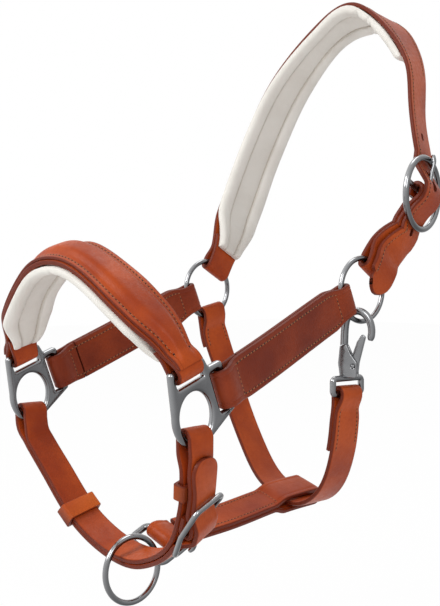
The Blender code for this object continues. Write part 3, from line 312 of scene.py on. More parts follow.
class HalterStage(bpy.types.PropertyGroup):
    """Floor, backdrop and lamps."""

    floor: colour("Floor", "Floor and backdrop", (0.92, 0.92, 0.92))
    key: power("Key lamp", "Power of the main lamp", 14.0)
    fill: power("Fill lamp", "Power of the second lamp", 5.0)
    top: power("Top lamp", "Power of the lamp above", 6.0)
    ambient: share("Ambient", "Strength of the even light", 0.42)


# Lines through space

def natural_curve(rows, step):
    """Rows about one step apart on the natural cubic curve through the given rows of numbers."""
    rows = np.array(rows, float)
    chords = np.linalg.norm(np.diff(rows[:, :3], axis=0), axis=1)
    count = len(rows)
    system = np.eye(count)
    target = np.zeros_like(rows)
    for i in range(1, count - 1):
        before, after = chords[i - 1], chords[i]
        system[i, i - 1:i + 2] = before, 2 * (before + after), after
        target[i] = 6 * ((rows[i + 1] - rows[i]) / after - (rows[i] - rows[i - 1]) / before)
    bend = np.linalg.solve(system, target)
    fine = [rows[0]]
    for i, chord in enumerate(chords):
        steps = max(2, round(chord / step))
        for j in range(1, steps + 1):
            b = j / steps
            a = 1 - b
            curved = ((a ** 3 - a) * bend[i] + (b ** 3 - b) * bend[i + 1]) * chord ** 2 / 6
            fine.append(a * rows[i] + b * rows[i + 1] + curved)
    return [tuple(float(value) for value in row) for row in fine]


class Route:
    """A line through places, with the strap's width direction along it and an outward side."""

    def __init__(self, rows, side=1.0):
        self.places = [Vector(row[:3]) for row in rows]
        self.widths = [Vector(row[3:]) for row in rows]
        self.side = side
        self.runs = [0.0]
        for a, b in zip(self.places, self.places[1:]):
            self.runs.append(self.runs[-1] + (b - a).length)
        self.length = self.runs[-1]

    def place_and_width(self, s):
        """Place and width direction at distance s; past either end the line goes on straight."""
        i = 0
        while i < len(self.runs) - 2 and self.runs[i + 1] < s:
            i += 1
        part = (s - self.runs[i]) / (self.runs[i + 1] - self.runs[i])
        kept = max(0.0, min(1.0, part))
        place = self.places[i] + (self.places[i + 1] - self.places[i]) * part
        return place, self.widths[i] + (self.widths[i + 1] - self.widths[i]) * kept

    def frame(self, s):
        """Place, direction, width direction and outward normal at distance s."""
        place, width = self.place_and_width(s)
        ahead = self.place_and_width(s + 1.5)[0] - self.place_and_width(s - 1.5)[0]
        ahead.normalize()
        normal = width.cross(ahead).normalized() * self.side
        width = (width - ahead * width.dot(ahead)).normalized()
        return place, ahead, width, normal

    def off(self, s, height, across=0.0):
        """The place at distance s, raised along the normal and moved across the width."""
        place, _, width, normal = self.frame(s)
        return place + normal * height + width * across


def mirrored(rows):
    """The same rows on the other side of the head."""
    return [(-x, y, z, -wx, wy, wz) for x, y, z, wx, wy, wz in rows]


def ease(part):
    """One at zero and below, zero at one and above, smooth between."""
    part = max(0.0, min(1.0, part))
    return (1 + math.cos(math.pi * part)) / 2


def blend(part, first, last):
    """A smooth change from the first value to the last as the part goes from 0 to 1."""
    return last + (first - last) * ease(part)


def spaced(start, stop, step):
    """Distances from start to stop, about one step apart."""
    count = max(1, round(abs(stop - start) / step))
    return [start + (stop - start) * i / count for i in range(count + 1)]


def rounded(corners, closed, turn_step=12.0):
    """Points round a run of (x, y, radius) corners, with an arc at each corner that has a radius."""
    points = []
    count = len(corners)
    for i, (x, y, radius) in enumerate(corners):
        at_end = not closed and i in (0, count - 1)
        if radius == 0.0 or at_end:
            points.append((x, y))
            continue
        corner = Vector((x, y))
        to_last = (Vector(corners[i - 1][:2]) - corner).normalized()
        to_next = (Vector(corners[(i + 1) % count][:2]) - corner).normalized()
        half_angle = math.acos(max(-1.0, min(1.0, to_last.dot(to_next)))) / 2
        middle = (to_last + to_next).normalized()
        centre = corner + middle * (radius / math.sin(half_angle))
        first = corner + to_last * (radius / math.tan(half_angle)) - centre
        last = corner + to_next * (radius / math.tan(half_angle)) - centre
        sweep_angle = math.pi - 2 * half_angle
        steps = max(2, round(math.degrees(sweep_angle) / turn_step))
        for step in range(steps + 1):
            part = step / steps
            arc = first * math.sin((1 - part) * sweep_angle) + last * math.sin(part * sweep_angle)
            points.append(tuple(centre + arc / math.sin(sweep_angle)))
    return points


class Loop:
    """How a strap turns round a bar: bend radius, part kept open, tail length, half width there."""

    def __init__(self, radius, hold, tail, half):
        self.radius = radius
        self.hold = hold
        self.tail = tail
        self.half = half

    def spread(self, distance, settled):
        """Distance of a layer from the strap's middle line, this far from the bar."""
        return blend((distance - self.hold) / PINCH, self.radius, settled)


class Fold:
    """A strip laid along a route with its ends turned back: outer run and inner tails.

    The first loop may be None, where the strip starts with a plain end.
    """

    def __init__(self, route, first, last, half, taper, outer_to, inner_to):
        self.route = route
        self.first = first
        self.last = last
        self.half = half
        self.taper = taper
        self.outer_to = outer_to
        self.inner_to = inner_to

    def spread(self, s, settled):
        """How far a layer stands from the route at distance s."""
        apart = max(settled, self.last.spread(self.route.length - s, settled))
        if self.first:
            apart = max(apart, self.first.spread(s, settled))
        return apart

    def outer(self, s):
        """Height of the outer run."""
        return self.spread(s, self.outer_to)

    def inner(self, s):
        """Height of the tails."""
        return -self.spread(s, self.inner_to)

    def width(self, s):
        """Half width of the strap, narrower at a loop."""
        run = self.route.length - s - self.last.hold
        narrow = min(self.half, blend(run / self.taper, self.last.half, self.half))
        if self.first:
            run = s - self.first.hold
            narrow = min(narrow, blend(run / self.taper, self.first.half, self.half))
        return narrow

    def path(self):
        """Steps of the whole strip: tail, turn, outer run, turn, tail."""
        route = self.route
        end = route.length
        steps = layer(route, spaced(self.first.tail, 0.0, STRIP_STEP), self.inner, self.width)
        steps += turn(route, 0.0, -1.0, 0.0, self.first.radius, self.first.half, False)
        steps += layer(route, spaced(0.0, end, STRIP_STEP), self.outer, self.width)
        steps += turn(route, end, 1.0, 0.0, self.last.radius, self.last.half, True)
        steps += layer(route, spaced(end, end - self.last.tail, STRIP_STEP), self.inner, self.width)
        return steps


def layer(route, stops, height, half):
    """Path steps at these distances along a route; height and half are functions of the distance."""
    return [(route.off(s, height(s)), route.frame(s)[2], half(s)) for s in stops]


def turn(route, s, ahead_sign, centre_height, radius, half, from_outside):
    """Half a turn round a bar that lies across the route at distance s."""
    place, ahead, width, normal = route.frame(s)
    centre = place + normal * centre_height
    start = normal if from_outside else -normal
    path = []
    for i in range(1, TURN_STEPS):
        angle = math.pi * i / TURN_STEPS
        reach = start * math.cos(angle) + ahead * (ahead_sign * math.sin(angle))
        path.append((centre + reach * radius, width, half))
    return path


def ring_reach(half):
    """Distance from an upper ring's centre to the line on which a strap of this half width turns."""
    return math.sqrt(RING_RADIUS ** 2 - half ** 2) - RING_SNUG


def ring_row(angle, half, x_sign, way, out=0.0, aside=0.0):
    """A route row at an upper ring, this many degrees round it and this far out from the turn.

    The width direction runs with rising angles where way is 1, and against them where it is -1.
    """
    reach = ring_reach(half) + out
    a = math.radians(angle)
    return (
        x_sign * RING_PLACE.x + aside,
        RING_PLACE.y + reach * math.cos(a),
        RING_PLACE.z + reach * math.sin(a),
        0.0, -way * math.sin(a), way * math.cos(a),
    )


def ring_loop(half, tail):
    """The loop of a strap round an upper ring's wire."""
    return Loop(RING_WIRE + GAP + LEATHER / 2, RING_RADIUS - ring_reach(half), tail, half)


# Middle lines of the straps

def noseband_route():
    """Middle line of the noseband, from the near fitting's bar over the nose to the far one."""
    half_way = [
        (FITTING_X, *NOSE_BAR, 0.0, math.cos(NOSE_BAR_ANGLE), math.sin(NOSE_BAR_ANGLE)),
        (76.4, -9.0, 31.6, -0.05, 0.94, 0.34),
        (70.0, -12.2, 42.0, -0.08, 0.95, 0.3),
        (59.6, -16.4, 53.0, -0.05, 0.96, 0.27),
        (47.8, -19.9, 63.4, 0.02, 0.96, 0.28),
        (33.0, -22.4, 73.6, 0.0, 0.97, 0.24),
        (17.4, -24.4, 81.8, 0.0, 0.97, 0.26),
    ]
    apex = [(0.0, -25.0, 85.4, 0.0, 0.95, 0.32)]
    return Route(natural_curve(half_way + apex + mirrored(half_way)[::-1], ROUTE_STEP))


def cheek_route(x_sign):
    """Middle line of a cheek strap, from the fitting's bar to the upper ring."""
    bar_line = (0.0, math.cos(CHEEK_BAR_ANGLE), math.sin(CHEEK_BAR_ANGLE))
    rows = natural_curve([
        (FITTING_X, *CHEEK_BAR, *bar_line),
        (FITTING_X - 0.6, CHEEK_BAR[0] + 13.0, CHEEK_BAR[1] + 5.2, *bar_line),
        ring_row(CHEEK_RING_ANGLE, RING_END_HALF, 1.0, 1.0, 14.0, 0.6),
        ring_row(CHEEK_RING_ANGLE, RING_END_HALF, 1.0, 1.0),
    ], ROUTE_STEP)
    return Route(rows, 1.0) if x_sign > 0 else Route(mirrored(rows), -1.0)


def crown_axes():
    """Upward and outward directions of the crown buckle and the line of its bar."""
    out = CROWN_FACE.normalized()
    line = (CROWN_BAR_LINE - out * CROWN_BAR_LINE.dot(out)).normalized()
    return out.cross(line), out, line


def crown_local(rows, width):
    """Rows in the buckle's own (up, out) plane turned into route rows."""
    up, out, _ = crown_axes()
    return [tuple(CROWN_BAR_PLACE + up * a + out * b) + tuple(width) for a, b in rows]


def buckle_strap_route():
    """Middle line of the two layers between the crown buckle's bar and the near ring."""
    _, _, line = crown_axes()
    bent = rounded([
        (0.0, 0.0, 0.0), (-2.5, -0.3, 4.0), (-20.0, -9.0, 12.0), (-27.0, -10.2, 0.0)], False)
    down = crown_local(bent, line)
    lower = natural_curve([
        down[-1],
        ring_row(BUCKLE_RING_ANGLE, RING_END_HALF, 1.0, -1.0, 14.0),
        ring_row(BUCKLE_RING_ANGLE, RING_END_HALF, 1.0, -1.0),
    ], ROUTE_STEP)
    return Route(down[:-1] + lower, -1.0)


def throat_route():
    """Middle line of the throat strap, from the far ring under the throat to the snap's eye."""
    return Route(natural_curve([
        ring_row(THROAT_RING_ANGLE, RING_END_HALF, -1.0, 1.0),
        ring_row(THROAT_RING_ANGLE, RING_END_HALF, -1.0, 1.0, 13.0),
        (-67.0, 155.0, 12.0, 0.03, 1.0, 0.0),
        (-58.0, 159.5, -17.0, 0.0, 1.0, 0.0),
        (-40.0, 158.5, -46.0, 0.0, 1.0, 0.0),
        (-18.0, 155.5, -66.5, 0.0, 1.0, 0.05),
        (0.0, 154.0, -73.0, 0.0, 1.0, 0.06),
        (15.0, 152.0, -75.5, 0.0, 1.0, 0.05),
        (31.0, 149.0, -71.0, 0.0, 1.0, 0.0),
        (45.0, 145.5, -60.0, 0.0, 1.0, 0.0),
        (56.0, 141.5, -43.0, 0.0, 1.0, 0.0),
        (63.6, 137.4, -24.0, 0.0, 1.0, 0.0),
        (66.2, 135.9, -8.0, 0.0, 1.0, 0.0),
        (*EYE_PLACE, 0.0, 1.0, 0.0),
    ], ROUTE_STEP))


def jaw_route():
    """Middle line of the jaw strap, from the dee back to the throat strap."""
    line = tuple(DEE_BAR_LINE.normalized())
    return Route(natural_curve([
        (*DEE_BAR_PLACE, *line),
        (-1.5, 57.0, -84.15, 0.94, 0.04, -0.34),
        (-1.4, 70.0, -82.8, 0.94, 0.02, -0.34),
        (-0.5, 88.0, -81.0, 0.94, 0.0, -0.34),
        (0.0, 109.0, -78.2, 0.94, 0.0, -0.34),
        (0.0, 135.0, -74.6, 0.94, 0.0, -0.32),
        (0.0, 168.0, -72.2, 0.95, 0.0, -0.3),
    ], ROUTE_STEP), -1.0)


def chin_route():
    """Line between the two layers of the chin strap, from the near oval opening to the far one."""
    low = OVAL_CENTRE[1] - 11.4
    return Route(natural_curve([
        (FITTING_X, OVAL_CENTRE[0], low, 0.0, -1.0, 0.0),
        (78.2, 1.0, -24.0, 0.1, -1.0, 0.0),
        (76.0, 2.5, -34.0, 0.24, -0.97, 0.0),
        (71.8, 5.0, -46.0, 0.32, -0.95, 0.0),
        (65.0, 8.0, -58.0, 0.38, -0.92, 0.0),
        (56.5, 11.5, -69.0, 0.38, -0.92, -0.05),
        (47.0, 14.0, -77.5, 0.35, -0.93, -0.1),
        (28.0, 18.0, -87.5, 0.1, -0.97, -0.2),
        (10.7, 19.5, -92.0, 0.0, -0.97, -0.24),
        (-4.0, 19.5, -91.6, 0.0, -0.97, -0.24),
        (-21.5, 18.5, -87.0, 0.0, -0.97, -0.24),
        (-41.0, 14.0, -74.0, 0.0, -0.98, -0.2),
        (-60.0, 8.0, -50.0, 0.0, -1.0, -0.1),
        (-74.6, 2.5, -29.0, 0.0, -1.0, 0.0),
        (-78.4, 0.6, -20.5, 0.0, -1.0, 0.0),
        (-FITTING_X, OVAL_CENTRE[0], low, 0.0, -1.0, 0.0),
    ], ROUTE_STEP))


# Meshes

def draw_out(mesh_data, last, edges, places):
    """Extrude a loop of edges and move its new points to the given places."""
    drawn = bmesh.ops.extrude_edge_only(mesh_data, edges=edges)["geom"]
    fresh = {tuple(item.co): item for item in drawn if isinstance(item, bmesh.types.BMVert)}
    last = [fresh[tuple(vertex.co)] for vertex in last]
    for vertex, place in zip(last, places):
        vertex.co = place
    return last, [item for item in drawn if isinstance(item, bmesh.types.BMEdge)]


def tube(mesh_data, rings, marks=None):
    """Draw a closed body through rings of points; marks holds each point's distance from the edge."""
    near_edge = mesh_data.verts.layers.float["edge"] if marks else None
    last = [mesh_data.verts.new(point) for point in rings[0]]
    edges = list(mesh_data.faces.new(last).edges)
    for i, ring in enumerate(rings):
        if i > 0:
            last, edges = draw_out(mesh_data, last, edges, ring)
        if marks:
            for vertex, mark in zip(last, marks[i]):
                vertex[near_edge] = mark
    mesh_data.faces.new(last)


def to_metres(mesh_data):
    """Move a bmesh from the drawing frame into metres from POLL, its faces turned outward."""
    for vertex in mesh_data.verts:
        vertex.co = (vertex.co - POLL) * MM
    bmesh.ops.recalc_face_normals(mesh_data, faces=mesh_data.faces)


def finish_piece(name, mesh_data, finishes, body, nodes=(), slot="leather", angle=40.0):
    """Turn a bmesh drawn in millimetres into a finished piece that rides on a body."""
    to_metres(mesh_data)
    # Steel pieces keep how far each point faces the painted light's side; the steel finish turns this
    # into painted highlight and painted shade.
    if slot == "steel":
        mesh_data.normal_update()
        painted_light_facing = mesh_data.verts.layers.float.new("painted_light_facing")
        for vertex in mesh_data.verts:
            vertex[painted_light_facing] = vertex.normal.dot(PAINTED_LIGHT_SIDE)
    mesh = bpy.data.meshes.new(name)
    mesh_data.to_mesh(mesh)
    mesh_data.free()
    for finish in finishes:
        mesh.materials.append(material(finish))
    mesh.shade_smooth()
    mesh.set_sharp_from_angle(angle=math.radians(angle))
    piece = bpy.data.objects.new(name, mesh)
    bpy.context.scene.collection.objects.link(piece)
    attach(piece, body)
    if nodes:
        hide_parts(*nodes)
    return piece


def soft_corner(x, y, radius):
    """Four points round the outer upper corner of a section, at (x, y) before it is rounded."""
    angles = [math.radians(30.0 * i) for i in range(4)]
    return [(x - radius + radius * math.cos(a), y - radius + radius * math.sin(a)) for a in angles]


def strap_section(half, groove):
    """(across, height) points of a strap: rounded edges, a faint crown, a groove for the thread."""
    flat = LEATHER / 2
    quarter = [(half - 0.04, 0.25 * flat)] + soft_corner(half, flat, 0.95)
    for out, depth in ((1.7, -0.04), (0.55, 0.0), (0.0, 1.0), (-0.55, 0.0)):
        quarter.append((half - STITCH_INSET + out, flat - groove * depth + 0.02))
    quarter.append((0.45 * half, flat + 0.06))
    top = quarter + [(0.0, flat + 0.08)] + [(-a, b) for a, b in reversed(quarter)]
    return top + [(-a, -b) for a, b in top]


def edged_mesh():
    """A new bmesh whose points can keep their distance from the cut edge, in millimetres."""
    mesh_data = bmesh.new()
    mesh_data.verts.layers.float.new("edge")
    return mesh_data


def strap_mesh(path, groove=0.0):
    """The bmesh of a strap along (place, width direction, half width) steps."""
    mesh_data = edged_mesh()
    rings = []
    marks = []
    for i, (place, width, half) in enumerate(path):
        ahead = path[min(i + 1, len(path) - 1)][0] - path[max(i - 1, 0)][0]
        normal = width.cross(ahead).normalized()
        across = ahead.cross(normal).normalized()
        shape = strap_section(half, groove)
        rings.append([place + across * a + normal * b for a, b in shape])
        at_end = 0.4 if i in (0, len(path) - 1) else 9.0
        marks.append([min(half - abs(a), at_end) for a, _ in shape])
    tube(mesh_data, rings, marks)
    return mesh_data


def ring_of(route, s, shape):
    """(across, height) points set across a route at distance s."""
    place, _, width, normal = route.frame(s)
    return [place + width * a + normal * b for a, b in shape]


def stitch(mesh_data, place, ahead, normal, length, width, index):
    """One stitch, or the painted shadow of the hole between two, lying on a surface."""
    side = normal.cross(ahead).normalized()
    turned = Matrix((ahead, side, normal)).transposed().to_4x4()
    sized = Matrix.Diagonal((length / 2, width / 2, width * 0.42, 1.0))
    made = bmesh.ops.create_uvsphere(
        mesh_data, u_segments=6, v_segments=5, radius=1.0,
        matrix=Matrix.Translation(place) @ turned @ sized)
    for face in {face for vertex in made["verts"] for face in vertex.link_faces}:
        face.material_index = index


def stitch_rows(name, rows, threads=("thread", "stitch_hole_shadow"), slot="leather", width=None):
    """Rows of stitches; each row is a list of (place, direction, normal), one per stitch."""
    thread = bpy.context.scene.halter_thread
    wide = width or thread.width
    joined = bmesh.new()
    places = [item for row in rows for item in row]
    for first in range(0, len(places), STITCHES_AT_ONCE):
        few = bmesh.new()
        for place, ahead, normal in places[first:first + STITCHES_AT_ONCE]:
            slant = (ahead + normal.cross(ahead) * THREAD_SLANT).normalized()
            stitch(few, place, slant, normal, thread.pitch * THREAD_SHARE, wide, 0)
            # Painted shadow: a small dark body sunk between the stitches stands for the shade in the
            # stitch hole.
            hole_shadow_at = place + ahead * (thread.pitch / 2) - normal * (0.12 * wide)
            stitch(few, hole_shadow_at, ahead, normal, wide * 1.5, wide * 1.35, 1)
        few_mesh = bpy.data.meshes.new("few_stitches")
        few.to_mesh(few_mesh)
        few.free()
        joined.from_mesh(few_mesh)
        bpy.data.meshes.remove(few_mesh)
    finish_piece(name, joined, threads, "halter", slot=slot)


def run_of_stitches(route, start, stop, height, across, sign=1.0):
    """Places for stitches along a route, on its outer side, or its inner side with sign -1."""
    pitch = bpy.context.scene.halter_thread.pitch
    row = []
    for s in spaced(start, stop, pitch):
        _, ahead, _, normal = route.frame(s)
        row.append((route.off(s, height(s), across(s)), ahead, normal * sign))
    return row


def edge_rows(route, start, stop, height, half, sign=1.0):
    """Two rows of stitches along a route, this far to each side of its middle."""
    return [
        run_of_stitches(route, start, stop, height, lambda s, way=way: way * half(s), sign)
        for way in (-1.0, 1.0)]


def cross_stitches(route, s, height, half, sign=1.0):
    """Places for a row of stitches across a strap."""
    pitch = bpy.context.scene.halter_thread.pitch
    _, _, width, normal = route.frame(s)
    return [(route.off(s, height, a), width, normal * sign) for a in spaced(-half, half, pitch)]


# Finishes

def nodes_of(name):
    """A new material with its node tree and its Principled shader."""
    made = bpy.data.materials.new(name)
    made.use_nodes = True
    tree = made.node_tree
    return made, tree, tree.nodes["Principled BSDF"]


def link(tree, source, target):
    """Join two sockets."""
    tree.links.new(source, target)


def set_inputs(node, values):
    """Give a node's inputs their values."""
    for name, value in values.items():
        node.inputs[name].default_value = value


def add_node(tree, kind, values, **options):
    """A new node of this kind, with its input values and options."""
    node = tree.nodes.new(kind)
    for name, value in options.items():
        setattr(node, name, value)
    set_inputs(node, values)
    return node


def on_object(tree, node):
    """Lay a pattern out on object coordinates."""
    link(tree, tree.nodes.new("ShaderNodeTexCoord").outputs["Object"], node.inputs["Vector"])
    return node


def noise(tree, scale, detail=3.0, rough=0.5):
    """A noise pattern on object coordinates, in features per metre."""
    values = {"Scale": scale, "Detail": detail, "Roughness": rough}
    return on_object(tree, add_node(tree, "ShaderNodeTexNoise", values)).outputs["Fac"]


def pores(tree, scale):
    """A pattern of small cells on object coordinates."""
    values = {"Scale": scale, "Smoothness": 0.35}
    cells = add_node(tree, "ShaderNodeTexVoronoi", values, feature="SMOOTH_F1")
    return on_object(tree, cells).outputs["Distance"]


def spread(tree, source, low, high, to_low, to_high):
    """A value carried from one range to another, held at its ends."""
    values = {"From Min": low, "From Max": high, "To Min": to_low, "To Max": to_high}
    node = add_node(tree, "ShaderNodeMapRange", values)
    link(tree, source, node.inputs["Value"])
    return node.outputs["Result"]


def mix(tree, part, first, last):
    """A mix of two colours or colour sockets."""
    node = add_node(tree, "ShaderNodeMix", {}, data_type="RGBA")
    link(tree, part, node.inputs["Factor"])
    for socket, value in (("A", first), ("B", last)):
        target = [item for item in node.inputs if item.name == socket and item.type == "RGBA"][0]
        if isinstance(value, bpy.types.NodeSocket):
            link(tree, value, target)
        else:
            target.default_value = (*value, 1.0)
    return [item for item in node.outputs if item.type == "RGBA"][0]


def bump(tree, height, distance, strength, before=None):
    """A bump from a height pattern, on top of an earlier one."""
    node = add_node(tree, "ShaderNodeBump", {"Distance": distance, "Strength": strength})
    link(tree, height, node.inputs["Height"])
    if before is not None:
        link(tree, before, node.inputs["Normal"])
    return node.outputs["Normal"]


def kept_in_mesh(tree, name):
    """A value that the mesh keeps for each of its points, such as its distance from the cut edge."""
    return add_node(tree, "ShaderNodeAttribute", {}, attribute_name=name).outputs["Fac"]


def leather_finish(name, bright, deep):
    """Dyed and oiled leather with pores, uneven dye and a burnished edge."""
    look = bpy.context.scene.halter_leather
    made, tree, shader = nodes_of(name)
    broad = spread(tree, noise(tree, 26.0, 3.0), 0.36, 0.66, 0.0, 1.0)
    fine = spread(tree, noise(tree, 420.0, 4.0, 0.6), 0.3, 0.7, 0.0, 1.0)
    dyed = mix(tree, broad, bright, deep)
    speck = mix(tree, spread(tree, fine, 0.0, 1.0, 0.0, 0.28), dyed, deep)
    near_edge = spread(tree, kept_in_mesh(tree, "edge"), 0.25, 0.95, 1.0, 0.0)
    burnished = mix(tree, near_edge, speck, look.edge)
    cell = pores(tree, 1000.0 / look.grain)
    pore_dark = spread(tree, cell, 0.0, 0.22, 0.22, 0.0)
    link(tree, mix(tree, pore_dark, burnished, look.edge), shader.inputs["Base Color"])
    rough = spread(tree, fine, 0.0, 1.0, look.roughness - 0.07, look.roughness + 0.10)
    link(tree, rough, shader.inputs["Roughness"])
    grain = bump(tree, cell, 0.00012, 0.55)
    wrinkle = bump(tree, noise(tree, 130.0, 4.0, 0.55), 0.0006, 0.28, grain)
    link(tree, wrinkle, shader.inputs["Normal"])
    set_inputs(shader, {"Coat Weight": 0.02, "Coat Roughness": 0.28, "Specular IOR Level": 0.15})
    return made


def lining_finish():
    """Soft off-white leather over foam, with random wear and painted shade in its seams and over its
    middle channel.
    """
    look = bpy.context.scene.halter_lining
    made, tree, shader = nodes_of("lining_leather")
    worn = spread(tree, noise(tree, 40.0, 4.0), 0.42, 0.72, 0.0, 0.25)
    body = mix(tree, worn, look.clean, look.worn_and_shaded)
    # Painted shade: darker within 1.3 mm of the seams, and a little over the whole middle channel.
    seam_shade = spread(tree, kept_in_mesh(tree, "edge"), 0.0, 1.3, 0.75, 0.0)
    link(tree, mix(tree, seam_shade, body, look.worn_and_shaded), shader.inputs["Base Color"])
    fine = noise(tree, 900.0, 3.0)
    rough = spread(tree, fine, 0.3, 0.7, look.roughness - 0.06, look.roughness + 0.08)
    link(tree, rough, shader.inputs["Roughness"])
    grain = bump(tree, pores(tree, 1150.0), 0.00008, 0.4)
    link(tree, bump(tree, noise(tree, 190.0, 3.0), 0.0005, 0.25, grain), shader.inputs["Normal"])
    set_inputs(shader, {"Specular IOR Level": 0.35})
    return made


def steel_finish():
    """Polished steel with painted highlight and shade by facing, painted reflection blotches and
    hairline scratches.
    """
    look = bpy.context.scene.halter_steel
    made, tree, shader = nodes_of("polished_steel")
    # Painted light and shade: brighter where a point faces the painted light's side, darker where it
    # faces away.
    bright = spread(tree, kept_in_mesh(tree, "painted_light_facing"), -0.85, 0.85, 0.0, 1.0)
    painted_lit_and_shaded = mix(tree, bright, tuple(look.painted_shade_steel), tuple(look.tone))
    # Painted reflections: broad random blotches darken the steel towards its painted shade colour.
    shade = spread(tree, noise(tree, 60.0, 3.0), 0.3, 0.7, 0.0, 0.3)
    link(tree, mix(tree, shade, painted_lit_and_shaded, tuple(look.painted_shade_steel)), shader.inputs["Base Color"])
    set_inputs(shader, {"Metallic": 1.0})
    fine = noise(tree, 700.0, 5.0, 0.65)
    rough = spread(tree, fine, 0.3, 0.75, look.roughness - 0.05, look.roughness + 0.11)
    link(tree, rough, shader.inputs["Roughness"])
    link(tree, bump(tree, noise(tree, 240.0, 3.0), 0.0003, 0.12), shader.inputs["Normal"])
    return made


def thread_finish(name, tone):
    """Waxed twisted thread."""
    made, tree, shader = nodes_of(name)
    part = spread(tree, noise(tree, 1500.0, 2.0), 0.35, 0.65, 0.0, 0.5)
    dark = tuple(0.6 * value for value in tone)
    link(tree, mix(tree, part, tuple(tone), dark), shader.inputs["Base Color"])
    set_inputs(shader, {"Roughness": 0.62})
    link(tree, bump(tree, noise(tree, 2600.0, 2.0), 0.0001, 0.5), shader.inputs["Normal"])
    return made


def material(name):
    """The finish of this name, made the first time it is asked for."""
    if name in bpy.data.materials:
        return bpy.data.materials[name]
    leather = bpy.context.scene.halter_leather
    thread = bpy.context.scene.halter_thread
    dyes_and_painted_shade = {
        "tan_leather": (leather.bright, leather.deep),
        # Painted shade: the cheek straps' darker copy of the tan leather.
        "cheek_shaded_leather": (leather.cheek_shaded_bright, leather.cheek_shaded_deep),
        "keeper_leather": (leather.keeper, leather.bright),
    }
    tones = {"thread": thread.pale, "stitch_hole_shadow": thread.hole, "lining_thread": thread.cream}
    if name in dyes_and_painted_shade:
        return leather_finish(name, *[tuple(tone) for tone in dyes_and_painted_shade[name]])
    if name in tones:
        return thread_finish(name, tones[name])
    return lining_finish() if name == "lining_leather" else steel_finish()


# Shapes for hardware

def shifted(points, distance):
    """The closed run of points moved sideways by a distance, to the left of its direction."""
    moved = []
    count = len(points)
    for i in range(count):
        here = Vector(points[i])
        first = (here - Vector(points[i - 1])).normalized().orthogonal()
        last = (Vector(points[(i + 1) % count]) - here).normalized().orthogonal()
        side = (first + last).normalized()
        moved.append(tuple(here + side * (distance / side.dot(first))))
    return moved


def oval(centre, half, start, stop, steps):
    """Points on an upright ellipse from one angle to another, in degrees."""
    angles = [math.radians(start + (stop - start) * i / steps) for i in range(steps + 1)]
    return [(centre[0] + half[0] * math.cos(a), centre[1] + half[1] * math.sin(a)) for a in angles]


def flat_curve(points, step):
    """Points about one step apart on the smooth curve through the given (x, y) points."""
    return [(x, y) for x, y, _ in natural_curve([(x, y, 0.0) for x, y in points], step)]


def anticlockwise(points):
    """The same closed outline, turning anticlockwise."""
    area = sum(a[0] * b[1] - b[0] * a[1] for a, b in zip(points, points[1:] + points[:1]))
    return points if area > 0 else points[::-1]


def plate(mesh_data, outline, holes, low, high, rounding, to_space):
    """A plate with holes and rounded edges; to_space turns (across, up, height) into a place."""
    profile = []
    for i in range(5):
        angle = math.radians(22.5 * i)
        profile.append((rounding * (1 - math.sin(angle)), low + rounding * (1 - math.cos(angle))))
    profile += [(inset, low + high - height) for inset, height in reversed(profile)]
    ends = [[], []]
    loops = [(anticlockwise(outline), 1.0)] + [(anticlockwise(hole), -1.0) for hole in holes]
    for points, inward in loops:
        last = [mesh_data.verts.new(to_space(x, y, profile[0][1]))
                for x, y in shifted(points, profile[0][0] * inward)]
        edges = [mesh_data.edges.new((a, b)) for a, b in zip(last, last[1:] + last[:1])]
        ends[0] += edges
        for inset, height in profile[1:]:
            places = [to_space(x, y, height) for x, y in shifted(points, inset * inward)]
            last, edges = draw_out(mesh_data, last, edges, places)
        ends[1] += edges
    for edges in ends:
        bmesh.ops.triangle_fill(mesh_data, edges=edges, use_beauty=True)


def wire_rings(points, radii, closed, sides, up):
    """Rings of round section along a run of points, kept square to it."""
    rings = []
    count = len(points)
    for i, point in enumerate(points):
        before = points[i - 1] if closed or i > 0 else point
        after = points[(i + 1) % count] if closed or i < count - 1 else point
        ahead = (after - before).normalized()
        across = ahead.cross(up).normalized()
        rise = across.cross(ahead)
        rings.append([
            point + (across * math.cos(a) + rise * math.sin(a)) * radii[i]
            for a in [2 * math.pi * j / sides for j in range(sides)]
        ])
    return rings


def closed_wire(mesh_data, points, wire, up, sides=20):
    """A closed loop of round wire; up is square to the plane that the loop lies in."""
    edges = []
    for ring in wire_rings(points, [wire] * len(points), True, sides, up):
        corners = [mesh_data.verts.new(point) for point in ring]
        edges.append([mesh_data.edges.new((a, b)) for a, b in zip(corners, corners[1:] + corners[:1])])
    for here, after in zip(edges, edges[1:] + edges[:1]):
        bmesh.ops.bridge_loops(mesh_data, edges=here + after)


def bar(mesh_data, start, stop, radius, dome=0.0, sides=20):
    """A straight round bar, with domed ends if dome is above zero."""
    ahead = (stop - start).normalized()
    points, radii = [start, stop], [radius, radius]
    if dome:
        steps = [0.0, 0.35, 0.7, 1.0]
        lift = [(dome * (1 - a), radius * math.sqrt(1 - 0.75 * (1 - a) ** 2)) for a in steps]
        points = [start - ahead * a for a, _ in lift] + [stop + ahead * a for a, _ in lift[::-1]]
        radii = [b for _, b in lift] + [b for _, b in lift[::-1]]
    tube(mesh_data, wire_rings(points, radii, False, sides, ahead.orthogonal().normalized()))


def hoop(mesh_data, centre, axis, radius, wire, steps=96, sides=24):
    """A ring of round wire, spun round its axis."""
    side = axis.orthogonal().normalized()
    middle = centre + side * radius
    round_wire = bmesh.ops.create_circle(mesh_data, segments=sides, radius=wire)["verts"]
    for vertex in round_wire:
        vertex.co = middle + side * vertex.co.x + axis * vertex.co.y
    edges = list({edge for vertex in round_wire for edge in vertex.link_edges})
    bmesh.ops.spin(
        mesh_data, geom=round_wire + edges, cent=centre, axis=axis,
        angle=2 * math.pi, steps=steps, use_merge=True)
    bmesh.ops.remove_doubles(mesh_data, verts=mesh_data.verts, dist=0.001)


